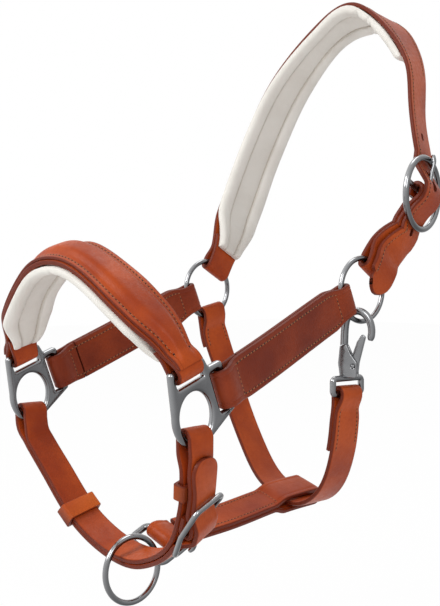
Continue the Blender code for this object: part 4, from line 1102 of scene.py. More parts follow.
def tongue(mesh_data, centre, ahead, outward, bar_wire, reach, rest):
    """A buckle tongue: an eye bent round the bar, an arm and a rounded tip that rests on the rim."""
    eye = bar_wire + GAP + TONGUE_WIRE
    flat = oval((0.0, 0.0), (eye, eye), 4.0, -270.0, 32)
    arm = flat_curve([
        flat[-1], (reach * 0.35, (eye + rest) / 2), (reach * 0.75, rest),
        (reach, rest), (reach + 2.6, rest - 1.05),
    ], 1.2)
    points = [centre + ahead * a + outward * b for a, b in flat + arm[1:]]
    radii = [TONGUE_WIRE] * len(points)
    tip = points[-1]
    tip_ahead = (points[-1] - points[-2]).normalized()
    for a in (0.45, 0.8, 1.0):
        points.append(tip + tip_ahead * (TONGUE_WIRE * 0.75 * a))
        radii.append(TONGUE_WIRE * math.sqrt(1 - (0.94 * a) ** 2))
    tube(mesh_data, wire_rings(points, radii, False, 16, ahead.cross(outward)))


def opened(piece, shapes):
    """Cut closed shapes, given as bmeshes in millimetres, out of a piece."""
    for shape in shapes:
        to_metres(shape)
        mesh = bpy.data.meshes.new("cutter")
        shape.to_mesh(mesh)
        shape.free()
        cutter = bpy.data.objects.new("cutter", mesh)
        bpy.context.scene.collection.objects.link(cutter)
        step = piece.modifiers.new("opening", "BOOLEAN")
        step.operation = "DIFFERENCE"
        step.solver = "EXACT"
        step.object = cutter
        bpy.context.view_layer.update()
        seen = bpy.context.evaluated_depsgraph_get()
        cut = bpy.data.meshes.new_from_object(
            piece.evaluated_get(seen), preserve_all_data_layers=True, depsgraph=seen)
        piece.modifiers.remove(step)
        before = piece.data
        piece.data = cut
        bpy.data.meshes.remove(before)
        bpy.data.objects.remove(cutter)
        bpy.data.meshes.remove(mesh)


def oval_shape(middle, ahead, across, half_length, half_width, depth):
    """A rounded prism that cuts an oval hole through a strap."""
    normal = ahead.cross(across).normalized()
    straight = half_length - half_width
    points = []
    for i in range(24):
        angle = math.pi * (i + 0.5) / 12
        a = half_width * math.cos(angle) + math.copysign(straight, math.cos(angle))
        points.append(ahead * a + across * (half_width * math.sin(angle)))
    mesh_data = bmesh.new()
    tube(mesh_data, [
        [middle + point + normal * height for point in points] for height in (-depth, depth)])
    return mesh_data


def bar_shape(middle, line, half_length, radius):
    """A round bar along a line, which cuts the slot for a tongue's eye out of a folded strap."""
    mesh_data = bmesh.new()
    bar(mesh_data, middle - line * half_length, middle + line * half_length, radius, sides=32)
    return mesh_data


# Pieces

def leather_piece(name, mesh_data, node, finish="tan_leather"):
    """A finished piece of the halter's own leather."""
    return finish_piece(name, mesh_data, [finish], "halter", [node])


def steel_piece(name, mesh_data, body, node, angle=60.0):
    """A finished piece of polished hardware."""
    finish_piece(name, mesh_data, ["polished_steel"], body, [node], "steel", angle)


def lining_piece(name, mesh_data, node):
    """A finished padded lining."""
    piece = finish_piece(name, mesh_data, ["lining_leather"], "halter", [node], "lining", 60.0)


def padding(u, seam):
    """How full a lining is at a share of its half width: a channel between two edge rolls."""
    a = abs(u)
    if a < seam:
        return CHANNEL_FILL + 0.11 * math.sqrt(max(0.0, 1 - (a / seam) ** 2))
    part = (a - seam) / (1 - seam)
    if part < 0.5:
        return CHANNEL_FILL + (1 - CHANNEL_FILL) * math.sqrt(max(0.0, 1 - (1 - 2 * part) ** 2))
    return 0.42 + 0.58 * math.sqrt(max(0.0, 1 - (2 * part - 1) ** 2.4))


def puckers(s, u, seam):
    """Depth of the small folds that cross the seams, between 0 and 1."""
    near = math.exp(-((abs(u) - seam) / 0.16) ** 2)
    middle = math.exp(-(u / (0.8 * seam)) ** 2)
    waves = 0.55 * math.sin(s * 1.31 + 0.7 * math.sin(s * 0.37))
    waves += 0.45 * math.sin(s * 2.13 + 1.1 + 1.7 * u)
    broad = math.sin(s * 0.47 + 2.0 * u) * math.sin(s * 0.19 + 0.4)
    return near * (0.5 + 0.5 * waves) + 0.55 * middle * max(0.0, broad)


def lining_half(s, end, strap_half):
    """Half width of a lining: a little proud of the strap, drawn in under it at the ends."""
    return min(LINING_HALF, strap_half(s) + LINING_PROUD * blend(end / 30.0, -0.5, 1.0))


def lining_mesh(route, start, stop, top, strap_half, folds, fades):
    """The bmesh of a padded lining: sewn channels, small folds along its seams and a few across it.

    Each fold is the distance where it crosses the middle, its slant and its depth; fades are the
    lengths over which the padding thins out at the two ends.
    """
    look = bpy.context.scene.halter_lining
    seam = look.seam
    rolls = [1.0, 0.975, 0.92, 0.83, 0.73, 0.62, 0.5, 0.38, 0.26, 0.15, 0.07, 0.03]
    shares = [-seam - (1 - seam) * a for a in rolls]
    shares += [-seam * a for a in (1.0, 0.95, 0.85, 0.65, 0.45, 0.2)]
    shares += [0.0] + [-share for share in reversed(shares)]
    mesh_data = edged_mesh()
    rings = []
    marks = []
    near_stops = (0.0, 0.04, 0.11, 0.21, 0.35, 0.52, 0.74, 1.0)
    first, last = [[fade * a for a in near_stops] for fade in fades]
    places = [start + a for a in first] + spaced(start + first[-1], stop - last[-1], 1.5)[1:-1]
    places += [stop - a for a in reversed(last)]
    for s in places:
        end, fade = min((s - start, fades[0]), (stop - s, fades[1]))
        full = math.sqrt(1 - (1 - min(1.0, end / fade + 0.04)) ** 2)
        half = lining_half(s, end, strap_half)
        thick = LINING_THICK * (0.14 + 0.86 * full)
        place, _, width, normal = route.frame(s)
        ring = []
        mark = []
        for u in shares:
            depth = thick * padding(u, seam) - look.pucker * PUCKER_SCALE * full * puckers(s, u, seam)
            for middle, slant, deep in folds:
                beside = (s - middle - slant * u) / LINING_FOLD_WIDTH
                depth -= deep * full * math.exp(-beside ** 2)
            ring.append(place + width * (half * u) + normal * (top(s) - depth))
            # Points of the middle channel keep at most 1.05 mm, so the painted seam shade darkens the
            # whole channel a little.
            apart = abs(abs(u) - seam) * half
            mark.append(min(apart, 1.05) if abs(u) < seam else apart)
        for u in (0.985, 0.95, 0.6, 0.2, -0.2, -0.6, -0.95, -0.985):
            drop = thick * 0.18 if abs(u) > 0.97 else thick * 0.02
            ring.append(place + width * (half * u) + normal * (top(s) - drop))
            mark.append(4.0)
        rings.append(ring)
        marks.append(mark)
    tube(mesh_data, rings, marks)
    return mesh_data


def lining_seams(name, route, start, stop, top, strap_half):
    """Thread along the two seams of a lining."""
    look = bpy.context.scene.halter_lining
    seam = look.seam

    def height(s):
        pucker = look.pucker * PUCKER_SCALE * puckers(s, seam, seam)
        return top(s) - (LINING_THICK * padding(seam, seam) - pucker) + 0.05

    def aside(s):
        return lining_half(s, min(s - start, stop - s), strap_half) * seam

    rows = edge_rows(route, start + 6.0, stop - 6.0, height, aside, -1.0)
    stitch_rows(name, rows, ("lining_thread", "lining_thread"), "lining", 0.55)


def ridge(u):
    """Height of the raised cover over its flat edges, as a share, at a share of the half width."""
    a = min(1.0, abs(u) / 0.70)
    return 0.5 * (1 + math.cos(math.pi * a ** 2.3))


def cover_mesh(route, stops, half_at, low_at, thick_at, arch_at, groove):
    """The bmesh of the raised cover: stitched flat edges and a smooth ridge over the filler."""
    mesh_data = edged_mesh()
    rings = []
    marks = []
    over = CORE_HEIGHT + 2 * GAP
    for s in stops:
        half, low, thick, arch = half_at(s), low_at(s), thick_at(s), arch_at(s)
        top = soft_corner(half, low + thick, 0.42 * thick)
        for out, depth in ((1.0, -0.03), (0.5, 0.0), (0.0, 1.0), (-0.5, 0.0)):
            top.append((half - COVER_STITCH_INSET + out, low + thick - groove * depth))
        for u in (0.68, 0.62, 0.56, 0.5, 0.44, 0.38, 0.31, 0.24, 0.16, 0.08):
            top.append((half * u, low + thick + over * 1.03 * arch * ridge(u)))
        crest = [(0.0, low + thick + over * 1.03 * arch)]
        under = [(0.98, 0.0), (0.6, 0.0), (0.5, 0.6), (0.34, 0.96), (0.0, 1.0)]
        inside = [(half * a, low + over * b * arch) for a, b in under]
        shape = top + crest + [(-a, b) for a, b in reversed(top)]
        shape += [(-a, b) for a, b in inside[:-1]] + inside[::-1]
        rings.append(ring_of(route, s, shape))
        marks.append([half - abs(a) for a, _ in shape])
    tube(mesh_data, rings, marks)
    return mesh_data


class HALTER_OT_noseband(bpy.types.Operator):
    """Padded noseband: base strap, filler, raised cover, lining and two rows of stitches"""

    bl_idname = "halter.noseband"
    bl_label = "Noseband"
    bl_options = {"REGISTER", "UNDO"}

    def execute(self, context):
        groove = context.scene.halter_leather.groove
        route = noseband_route()
        loop = Loop(BAR_TURN, BAR_HOLD, NOSE_TAIL, NOSE_END_HALF)
        base = Fold(route, loop, loop, NOSE_HALF, NOSE_TAPER, 0.0, LAYER_STEP)
        end = route.length
        leather_piece("noseband_base", strap_mesh(base.path()), "noseband_strap")

        def near_end(s):
            return min(s, end - s) - 1.0

        def arch(s):
            return 1 - ease(near_end(s) / NOSE_ARCH_RUN)

        def lean(s):
            return math.hypot(1.0, base.outer(s + 0.5) - base.outer(s - 0.5))

        def cover_thick(s):
            return COVER_THICK * lean(s) * blend(near_end(s) / 6.0, 0.6, 1.0)

        def top_side(s):
            return base.outer(s) + (LEATHER / 2 + GAP) * lean(s)

        def half(s):
            return base.width(s) - blend(near_end(s) / 14.0, 0.2, 1.0)

        stops = spaced(1.0, end - 1.0, 1.8)
        cover = cover_mesh(route, stops, half, top_side, cover_thick, arch, groove)
        leather_piece("noseband_raised_cover", cover, "noseband_cover")

        def core_section(s):
            wide = CORE_HALF * base.width(s) / NOSE_HALF
            high = CORE_HEIGHT * arch(s)
            return oval((0.0, top_side(s) + 0.48 * high), (wide, 0.44 * high), 0.0, 340.0, 17)

        stops = spaced(NOSE_CORE_FROM, end - NOSE_CORE_FROM, 3.0)
        core = bmesh.new()
        tube(core, [ring_of(route, s, core_section(s)) for s in stops])
        finish_piece(
            "noseband_core", core, ["lining_leather"], "halter", ["noseband_filler"], "filler")

        def under(s):
            past_tail = near_end(s) - loop.tail
            return -LEATHER / 2 - 2 * GAP - LAYER_STEP * ease(past_tail / 18.0)

        middle = end / 2
        folds = [(middle + 1.0, 3.0, 0.75), (middle - 5.5, -2.5, 0.5), (middle + 8.0, 2.0, 0.45)]
        padded = lining_mesh(
            route, NOSE_LINING_FROM, end - NOSE_LINING_FROM, under, base.width, folds, (15.0, 15.0))
        lining_piece("noseband_padding", padded, "noseband_lining")
        lining_seams(
            "noseband_lining_seams", route, NOSE_SEAM_FROM, end - NOSE_SEAM_FROM, under, base.width)

        def on_cover(s):
            return top_side(s) + cover_thick(s) - groove + THREAD_IN_GROOVE

        stitch_rows("noseband_stitches", edge_rows(
            route, NOSE_STITCH_FROM, end - NOSE_STITCH_FROM, on_cover,
            lambda s: half(s) - COVER_STITCH_INSET))
        return {"FINISHED"}


def grooved_rows(strap, first, last, crossings, cross_inset, groove):
    """Stitches in the grooves on both sides of a folded strap, and across it at some distances."""
    rows = []
    for sign, height in ((1.0, strap.outer), (-1.0, strap.inner)):
        def level(s, sign=sign, height=height):
            return height(s) + sign * (LEATHER / 2 - groove + THREAD_IN_GROOVE)
        rows += edge_rows(
            strap.route, first, last, level, lambda s: strap.width(s) - STITCH_INSET, sign)
        for s in crossings:
            reach = strap.width(s) - cross_inset
            rows.append(cross_stitches(strap.route, s, level(s) + sign * 0.1, reach, sign))
    return rows


class HALTER_OT_cheeks(bpy.types.Operator):
    """Both cheek straps with their stitches"""

    bl_idname = "halter.cheeks"
    bl_label = "Cheek straps"
    bl_options = {"REGISTER", "UNDO"}

    def execute(self, context):
        groove = context.scene.halter_leather.groove
        for side, x_sign in (("near", 1.0), ("far", -1.0)):
            route = cheek_route(x_sign)
            at_bar = Loop(BAR_TURN, BAR_HOLD, CHEEK_TAIL, CHEEK_END_HALF)
            at_ring = ring_loop(RING_END_HALF, route.length - CHEEK_TAIL - 1.0)
            strap = Fold(
                route, at_bar, at_ring, CHEEK_HALF, CHEEK_TAPER, LAYER_STEP / 2, LAYER_STEP / 2)
            # The cheek straps use the darker copy of the tan leather, as painted shade.
            leather_piece(
                "cheek_" + side, strap_mesh(strap.path(), groove), "cheek_strap_" + side,
                "cheek_shaded_leather")
            first, last = CHEEK_STITCH_FROM, route.length - CHEEK_STITCH_TO
            rows = grooved_rows(strap, first, last, (first, last), CHEEK_CROSS_INSET, groove)
            stitch_rows("cheek_" + side + "_stitches", rows)
        return {"FINISHED"}


def pointed(part, half):
    """Half width of a strap's rounded point, as the part goes from 0 at the tip to 1."""
    return TIP_HALF + (half - TIP_HALF) * math.sqrt(1 - (1 - max(0.0, min(1.0, part))) ** 2)


def tip_half(run):
    """Half width of the crown's billet at a distance from its tip."""
    return pointed(run / TIP_RUN, BILLET_HALF)


def crown_lines():
    """The short strap under the crown buckle, the crown's route from the billet's tip to the far
    ring, the length of it that lies over the short strap, and its height over the buckle's bar."""
    _, _, line = crown_axes()
    bar_loop = Loop(
        CROWN_BAR_WIRE + GAP + LEATHER / 2, CROWN_BAR_HOLD, BUCKLE_STRAP_TAIL,
        BUCKLE_STRAP_HALF - 0.6)
    held = buckle_strap_route()
    tip = held.length + BILLET_PAST_RING
    at_ring = ring_loop(RING_END_HALF, held.length - 10.0)
    short = Fold(
        held, bar_loop, at_ring, BUCKLE_STRAP_HALF, BUCKLE_STRAP_TAPER, LAYER_STEP / 2,
        LAYER_STEP / 2)
    rows = []
    for s in spaced(tip, 1.6, ROUTE_STEP):
        aside = 3.5 * (1 - ease((s - 12.0) / 34.0)) - 0.8 * (BILLET_HALF - tip_half(tip - s))
        place = held.off(s, short.outer(s) + LAYER_STEP + 0.3, aside)
        rows.append((*place, *held.frame(s)[2]))
    over = bar_loop.radius + LAYER_STEP
    profile = rounded([
        (-1.0, over, 0.0), (CROWN_BEND_FROM, over, 5.0), (CROWN_BEND_TO, CROWN_BEND_LOW, 6.0),
        (26.0, -4.3, 0.0)], False)
    rows += crown_local(profile[1:-1], line)
    side = [
        (69.4, 200.6, 182.1, -0.23, 0.91, -0.35),
        (61.2, 209.4, 208.1, -0.14, 0.93, -0.34),
        (47.1, 216.2, 231.0, 0.0, 0.97, -0.26),
        (26.8, 221.3, 250.5, 0.06, 0.98, -0.19),
    ]
    apex = [(0.0, 223.2, 259.2, 0.0, 0.92, -0.38)]
    far = [
        (-75.8, 192.0, 155.5, 0.25, 0.91, -0.34),
        (-76.5, 180.0, 128.5, 0.26, 0.91, -0.32),
        (-74.8, 167.6, 107.0, 0.12, 0.89, -0.42),
        ring_row(CROWN_RING_ANGLE, CROWN_END_HALF, -1.0, -1.0, 14.0, -0.6),
        ring_row(CROWN_RING_ANGLE, CROWN_END_HALF, -1.0, -1.0),
    ]
    start = crown_local([profile[-1]], line)
    rows += natural_curve(start + side + apex + mirrored(side)[::-1] + far, ROUTE_STEP)
    return short, Route(rows), tip, over


class HALTER_OT_crown(bpy.types.Operator):
    """Crown strap with its padded lining and billet, and the short strap that holds the buckle"""

    bl_idname = "halter.crown"
    bl_label = "Crown"
    bl_options = {"REGISTER", "UNDO"}

    def execute(self, context):
        up, out, line = crown_axes()
        short, route, held_part, over = crown_lines()
        lining_start = held_part + CROWN_LINING_FROM
        at_far = ring_loop(CROWN_END_HALF, CROWN_TAIL)
        run = Fold(route, None, at_far, CROWN_HALF, CROWN_TAPER, 0.0, LAYER_STEP)
        end = route.length

        def width(s):
            if s < held_part:
                return tip_half(s)
            wide = blend((s - held_part - 20.0) / 30.0, BILLET_HALF, CROWN_HALF - 2.5)
            wide = blend((s - lining_start + 20.0) / 40.0, wide, CROWN_HALF)
            return min(wide, run.width(s))

        tip_stops = [0.0, 0.3, 0.8, 1.5, 2.5, 3.7, 5.2, 7.0, 9.0]
        path = layer(route, tip_stops + spaced(11.0, end, ROUTE_STEP), run.outer, width)
        path += turn(route, end, 1.0, 0.0, at_far.radius, at_far.half, True)
        path += layer(route, spaced(end, end - at_far.tail, ROUTE_STEP), run.inner, run.width)
        strap = leather_piece("crown_billet_strap", strap_mesh(path), "crown_strap")
        rest = CROWN_BUCKLE_WIRE + TONGUE_WIRE + CROWN_TONGUE_CLEAR
        bend = Vector((CROWN_BEND_TO - CROWN_BEND_FROM, over - CROWN_BEND_LOW))
        slope = bend.normalized()
        crossing = CROWN_BEND_FROM + (over - rest) * bend.x / bend.y
        run_line = up * slope.x - out * slope.y
        middle = CROWN_BAR_PLACE + up * crossing + out * rest
        holes = [oval_shape(middle, run_line, line, *CROWN_TONGUE_HOLE)]
        for beyond, depth in SPARE_HOLES:
            place, ahead, across, _ = route.frame(held_part + beyond)
            holes.append(oval_shape(place, ahead, across, *SPARE_HOLE, depth))
        opened(strap, holes)

        def under(s):
            past_tail = end - s - at_far.tail - 1.0
            return -LEATHER / 2 - 2 * GAP - LAYER_STEP * ease(past_tail / 26.0)

        top_of_head = held_part + HEAD_TOP_FROM
        folds = [
            (top_of_head, 5.0, 2.0), (top_of_head + 5.5, -3.0, 1.5), (top_of_head - 7.5, 3.5, 1.3),
            (top_of_head + 14.0, 4.0, 0.8)]
        lining_end = end - CROWN_LINING_TO
        padded = lining_mesh(route, lining_start, lining_end, under, width, folds, (6.0, 2.5))
        lining_piece("crown_padding", padded, "crown_lining")
        lining_seams("crown_lining_seams", route, lining_start + 2.0, lining_end - 2.0, under, width)

        def top(s):
            return run.outer(s) + LEATHER / 2 + THREAD_ON_FLAT

        def aside(s):
            return width(s) - CROWN_STITCH_INSET

        last = end - CROWN_STITCH_TO
        stitch_rows("crown_stitches", [
            run_of_stitches(route, CROWN_STITCH_FROM, last, top, lambda s: -aside(s)),
            run_of_stitches(route, lining_start - 6.0, last, top, aside),
        ])

        holder = leather_piece("buckle_holder", strap_mesh(short.path()), "buckle_strap")
        opened(holder, [bar_shape(CROWN_BAR_PLACE, line, *CROWN_TONGUE_SLOT)])
        return {"FINISHED"}


class HALTER_OT_throat(bpy.types.Operator):
    """Throat strap with stitches below its ring fold, and the jaw strap"""

    bl_idname = "halter.throat"
    bl_label = "Throat and jaw straps"
    bl_options = {"REGISTER", "UNDO"}

    def execute(self, context):
        groove = context.scene.halter_leather.groove
        route = throat_route()
        at_ring = ring_loop(RING_END_HALF, THROAT_TAIL)
        at_eye = Loop(EYE_WIRE + GAP + LEATHER / 2, BAR_HOLD, SNAP_TAIL, SNAP_END_HALF)
        strap = Fold(route, at_ring, at_eye, THROAT_HALF, THROAT_TAPER, 0.0, LAYER_STEP)
        end = route.length

        def main_run(s):
            return at_eye.spread(end - s, 0.0) - at_ring.spread(s, 0.0)

        def ring_tail(s):
            return at_ring.spread(s, LAYER_STEP)

        path = layer(route, spaced(at_ring.tail, 0.0, STRIP_STEP), ring_tail, strap.width)
        path += turn(route, 0.0, -1.0, 0.0, at_ring.radius, at_ring.half, True)
        path += layer(route, spaced(0.0, end, STRIP_STEP), main_run, strap.width)
        path += turn(route, end, 1.0, 0.0, at_eye.radius, at_eye.half, True)
        path += layer(route, spaced(end, end - at_eye.tail, STRIP_STEP), strap.inner, strap.width)
        leather_piece("throat", strap_mesh(path), "throat_strap")

        def aside(s):
            return strap.width(s) - THROAT_STITCH_INSET

        by_ring = (11.0, at_ring.tail - 2.0)
        by_eye = (end - at_eye.tail + 2.0, end - 9.0)
        rows = []
        for (start, stop), sign, run in (
                (by_ring, 1.0, ring_tail), (by_ring, -1.0, main_run),
                (by_eye, 1.0, main_run), (by_eye, -1.0, strap.inner)):
            def level(s, sign=sign, run=run):
                return run(s) + sign * (LEATHER / 2 + THREAD_ON_FLAT)
            rows += edge_rows(route, start, stop, level, aside, sign)
        stitch_rows("throat_stitches", rows)

        route = jaw_route()
        front = Loop(DEE_WIRE + GAP + LEATHER / 2, BAR_HOLD, JAW_DEE_TAIL, JAW_HALF)
        long_tail = route.length - JAW_DEE_TAIL - JAW_TAIL_GAP
        back = Loop(LEATHER * 1.5 + GAP + 0.3, JAW_BACK_HOLD, long_tail, JAW_HALF)
        jaw = Fold(route, front, back, JAW_HALF, JAW_TAPER, LAYER_STEP / 2, LAYER_STEP / 2)
        leather_piece("jaw", strap_mesh(jaw.path(), groove), "jaw_strap")
        stop = route.length - JAW_STITCH_TO
        rows = grooved_rows(jaw, JAW_STITCH_FROM, stop, (stop,), JAW_CROSS_INSET, groove)
        stitch_rows("jaw_stitches", rows)
        return {"FINISHED"}


def chin_lines():
    """The chin strap's route, the radius of its fold round the buckle's bar, and the heights of
    the bar, of the strap's outer layer beside the buckle and of the fold's top."""
    route = chin_route()
    fold_radius = CHIN_WIRE + GAP + LEATHER / 2
    bar_height = LAYER_STEP / 2 + fold_radius
    near_outer = -LAYER_STEP / 2 + LEATHER + 2 * GAP + KEEPER_THICK
    top = bar_height + fold_radius
    return route, fold_radius, bar_height, near_outer, top


def chin_rim(route, bar_height, near_outer, s, across):
    """A place on the chin buckle's frame."""
    upper = near_outer + LAYER_STEP + LEATHER / 2 + GAP + 0.3 + CHIN_WIRE
    part = (CHIN_BAR_AT - s) / CHIN_BUCKLE_REACH
    rise = upper - bar_height if part > 0 else -0.3
    return route.off(s, bar_height + rise * part, across)


def band(route, s, low, high, half, width):
    """The bmesh of a keeper: a flat band with soft edges closed round the layers of a strap."""
    inner = [
        (half + GAP, low - GAP), (half + GAP, high + GAP),
        (-half - GAP, high + GAP), (-half - GAP, low - GAP)]
    outline = []
    for x, y in inner:
        rise = math.copysign(KEEPER_THICK, y - (low + high) / 2)
        outline.append((x + math.copysign(KEEPER_THICK, x), y + rise, 1.6))
    outer = rounded(outline, True, 10.0)
    inner = rounded([(x, y, 0.5) for x, y in inner], True, 30.0)

    def to_space(a, b, height):
        return route.off(s + height, b, a)

    mesh_data = edged_mesh()
    plate(mesh_data, outer, [inner], -width / 2, width / 2, 0.55, to_space)
    near_edge = mesh_data.verts.layers.float["edge"]
    place, ahead, _, _ = route.frame(s)
    for vertex in mesh_data.verts:
        vertex[near_edge] = width / 2 - abs((vertex.co - place).dot(ahead)) + 0.1
    return mesh_data


class HALTER_OT_chin(bpy.types.Operator):
    """Chin strap with its billet, and its two keepers"""

    bl_idname = "halter.chin"
    bl_label = "Chin strap and keepers"
    bl_options = {"REGISTER", "UNDO"}

    def execute(self, context):
        route, fold_radius, bar_height, near_outer, top = chin_lines()
        end = route.length
        at_oval = Loop(CHIN_TURN, CHIN_HOLD, 0.0, CHIN_END_HALF)
        layers = Fold(route, at_oval, at_oval, CHIN_HALF, CHIN_TAPER, LAYER_STEP / 2, LAYER_STEP / 2)
        bar_at = CHIN_BAR_AT
        brink = bar_at - 3.5
        foot = brink - (top - near_outer) / CHIN_DESCENT
        mitre = LAYER_STEP * math.tan(math.atan(CHIN_DESCENT) / 2)
        lift = LAYER_STEP / 2

        def points(corners):
            steps = []
            for s, height in rounded(corners, False):
                steps.append((route.off(s, height), route.frame(s)[2], CHIN_HALF))
            return steps

        def near_height(s):
            return blend((s - at_oval.hold) / PINCH, at_oval.radius, near_outer)

        path = layer(route, spaced(bar_at - 8.0, bar_at, 2.0), lambda s: lift, lambda s: CHIN_HALF)
        path += turn(route, bar_at, 1.0, bar_height, fold_radius, CHIN_HALF, False)
        path += points([
            (bar_at, top, 0.0), (brink, top, 4.0),
            (foot, near_outer, 4.0), (foot - 5.5, near_outer, 0.0)])
        path += layer(route, spaced(foot - 7.5, 0.0, 1.8), near_height, layers.width)
        path += turn(route, 0.0, -1.0, 0.0, at_oval.radius, at_oval.half, True)
        path += layer(route, spaced(0.0, end, STRIP_STEP), layers.inner, layers.width)
        path += turn(route, end, 1.0, 0.0, at_oval.radius, at_oval.half, False)
        path += layer(route, spaced(end, bar_at + 26.0, STRIP_STEP), layers.outer, layers.width)
        over = top + LAYER_STEP
        billet = near_outer + LAYER_STEP
        path += points([
            (bar_at + 22.0, lift, 0.0), (bar_at + CHIN_CLIMB_FROM, lift, 4.0),
            (bar_at + CHIN_CLIMB_TO, over, 5.0), (brink - mitre, over, 5.0),
            (foot - mitre, billet, 4.0), (foot - 8.5, billet, 0.0)])
        stops = spaced(foot - 10.5, CHIN_TIP_AT + 8.0, 1.6)
        stops += [CHIN_TIP_AT + a for a in (6.6, 5.2, 3.8, 2.6, 1.6, 0.8, 0.3, 0.0)]
        path += layer(
            route, stops, lambda s: near_height(s) + LAYER_STEP,
            lambda s: pointed((s - CHIN_TIP_AT) / CHIN_TIP_RUN, CHIN_HALF))
        strap = leather_piece("chin", strap_mesh(path), "chin_strap")

        bar_middle, ahead, across, normal = route.frame(bar_at)
        bar_middle = bar_middle + normal * bar_height
        slope = (over - lift) / (CHIN_CLIMB_FROM - CHIN_CLIMB_TO)
        rest = CHIN_WIRE + TONGUE_WIRE + CHIN_TONGUE_CLEAR
        crossing = bar_at + CHIN_CLIMB_TO + (over - bar_height - rest) / slope
        middle = route.off(crossing, bar_height + rest)
        run_line = (ahead - normal * slope).normalized()
        opened(strap, [
            bar_shape(bar_middle, across, *CHIN_TONGUE_SLOT),
            oval_shape(middle, run_line, across, *CHIN_TONGUE_HOLE)])

        low, high = -lift - LEATHER / 2, lift + LEATHER / 2
        for side, s, to_height, wide in (
                ("near", CHIN_KEEPER_AT, low + LEATHER, CHIN_KEEPER_WIDTH),
                ("far", end - FAR_KEEPER_AT, high, FAR_KEEPER_WIDTH)):
            finish_piece(
                "keeper_" + side + "_loop", band(route, s, low, to_height, CHIN_HALF, wide),
                ["keeper_leather"], "keeper_" + side, ["chin_keeper_" + side], "leather_light")
        return {"FINISHED"}


class HALTER_OT_rings(bpy.types.Operator):
    """Two upper rings, the lead ring and the chin dee"""

    bl_idname = "halter.rings"
    bl_label = "Rings and dee"
    bl_options = {"REGISTER", "UNDO"}

    def execute(self, context):
        far = Vector((-RING_PLACE.x, RING_PLACE.y, RING_PLACE.z))
        for body, place, wire in (
                ("upper_ring_near", RING_PLACE, RING_WIRE), ("upper_ring_far", far, RING_WIRE),
                ("lead_ring", LEAD_RING_PLACE, LEAD_RING_WIRE)):
            mesh_data = bmesh.new()
            hoop(mesh_data, place, Vector((1.0, 0.0, 0.0)), RING_RADIUS, wire)
            steel_piece(body + "_wire", mesh_data, body, body)
        line = DEE_BAR_LINE.normalized()
        side = (DEE_SIDE_LINE - line * DEE_SIDE_LINE.dot(line)).normalized()
        corners = [
            (-DEE_HALF, 0.0, 4.0), (DEE_HALF, 0.0, 4.0),
            (DEE_HALF, DEE_BETWEEN, 5.0), (-DEE_HALF, DEE_BETWEEN, 5.0)]
        points = [DEE_BAR_PLACE + line * a + side * b for a, b in rounded(corners, True)]
        mesh_data = bmesh.new()
        closed_wire(mesh_data, points, DEE_WIRE, line.cross(side))
        steel_piece("chin_dee_wire", mesh_data, "chin_dee", "chin_dee")
        return {"FINISHED"}


def bar_corner(middle, angle, by, away, radius):
    """A corner beside a bar of a cheek fitting: so far along it and away from the oval."""
    c, s = math.cos(angle), math.sin(angle)
    return middle[0] + by * c - away * s, middle[1] + by * s + away * c, radius


def fitting_slot(middle, angle, length):
    """The slot beside a bar, on the oval's side."""
    near, far = -BAR_THICK / 2, -BAR_THICK / 2 - SLOT_WIDTH
    ends = ((-1, near), (1, near), (1, far), (-1, far))
    return rounded([bar_corner(middle, angle, a * length / 2, b, 0.9) for a, b in ends], True, 18.0)


class HALTER_OT_fittings(bpy.types.Operator):
    """The two cast cheek fittings"""

    bl_idname = "halter.fittings"
    bl_label = "Cheek fittings"
    bl_options = {"REGISTER", "UNDO"}

    def execute(self, context):
        half = BAR_THICK / 2
        rim = (OVAL_HALF[0] + OVAL_RIM, OVAL_HALF[1] + OVAL_RIM)
        corners = [
            bar_corner(NOSE_BAR, NOSE_BAR_ANGLE, -NOSE_SLOT / 2 - 2.6, half, 2.4),
            bar_corner(NOSE_BAR, NOSE_BAR_ANGLE, NOSE_SLOT / 2 + 3.2, half, 3.0),
            (8.6, 25.2, 1.0),
            bar_corner(CHEEK_BAR, CHEEK_BAR_ANGLE, -CHEEK_SLOT / 2 - 4.2, half, 2.6),
            bar_corner(CHEEK_BAR, CHEEK_BAR_ANGLE, CHEEK_SLOT / 2 + 1.9, half, 1.8)]
        corners += [(y, z, 0.0) for y, z in oval(OVAL_CENTRE, rim, -42.0, -180.0, 30)]
        outline = rounded(corners, True, 8.0)
        holes = [
            oval(OVAL_CENTRE, OVAL_HALF, 0.0, 355.0, 71),
            fitting_slot(NOSE_BAR, NOSE_BAR_ANGLE, NOSE_SLOT),
            fitting_slot(CHEEK_BAR, CHEEK_BAR_ANGLE, CHEEK_SLOT)]
        for side, x_sign in (("near", 1.0), ("far", -1.0)):
            mesh_data = bmesh.new()
            plate(
                mesh_data, outline, holes, -FITTING_THICK / 2, FITTING_THICK / 2, 1.9,
                lambda y, z, height, x=x_sign * FITTING_X: Vector((x + height, y, z)))
            steel_piece("cast_fitting_" + side, mesh_data, "halter", "cheek_fitting_" + side, 50.0)
        return {"FINISHED"}


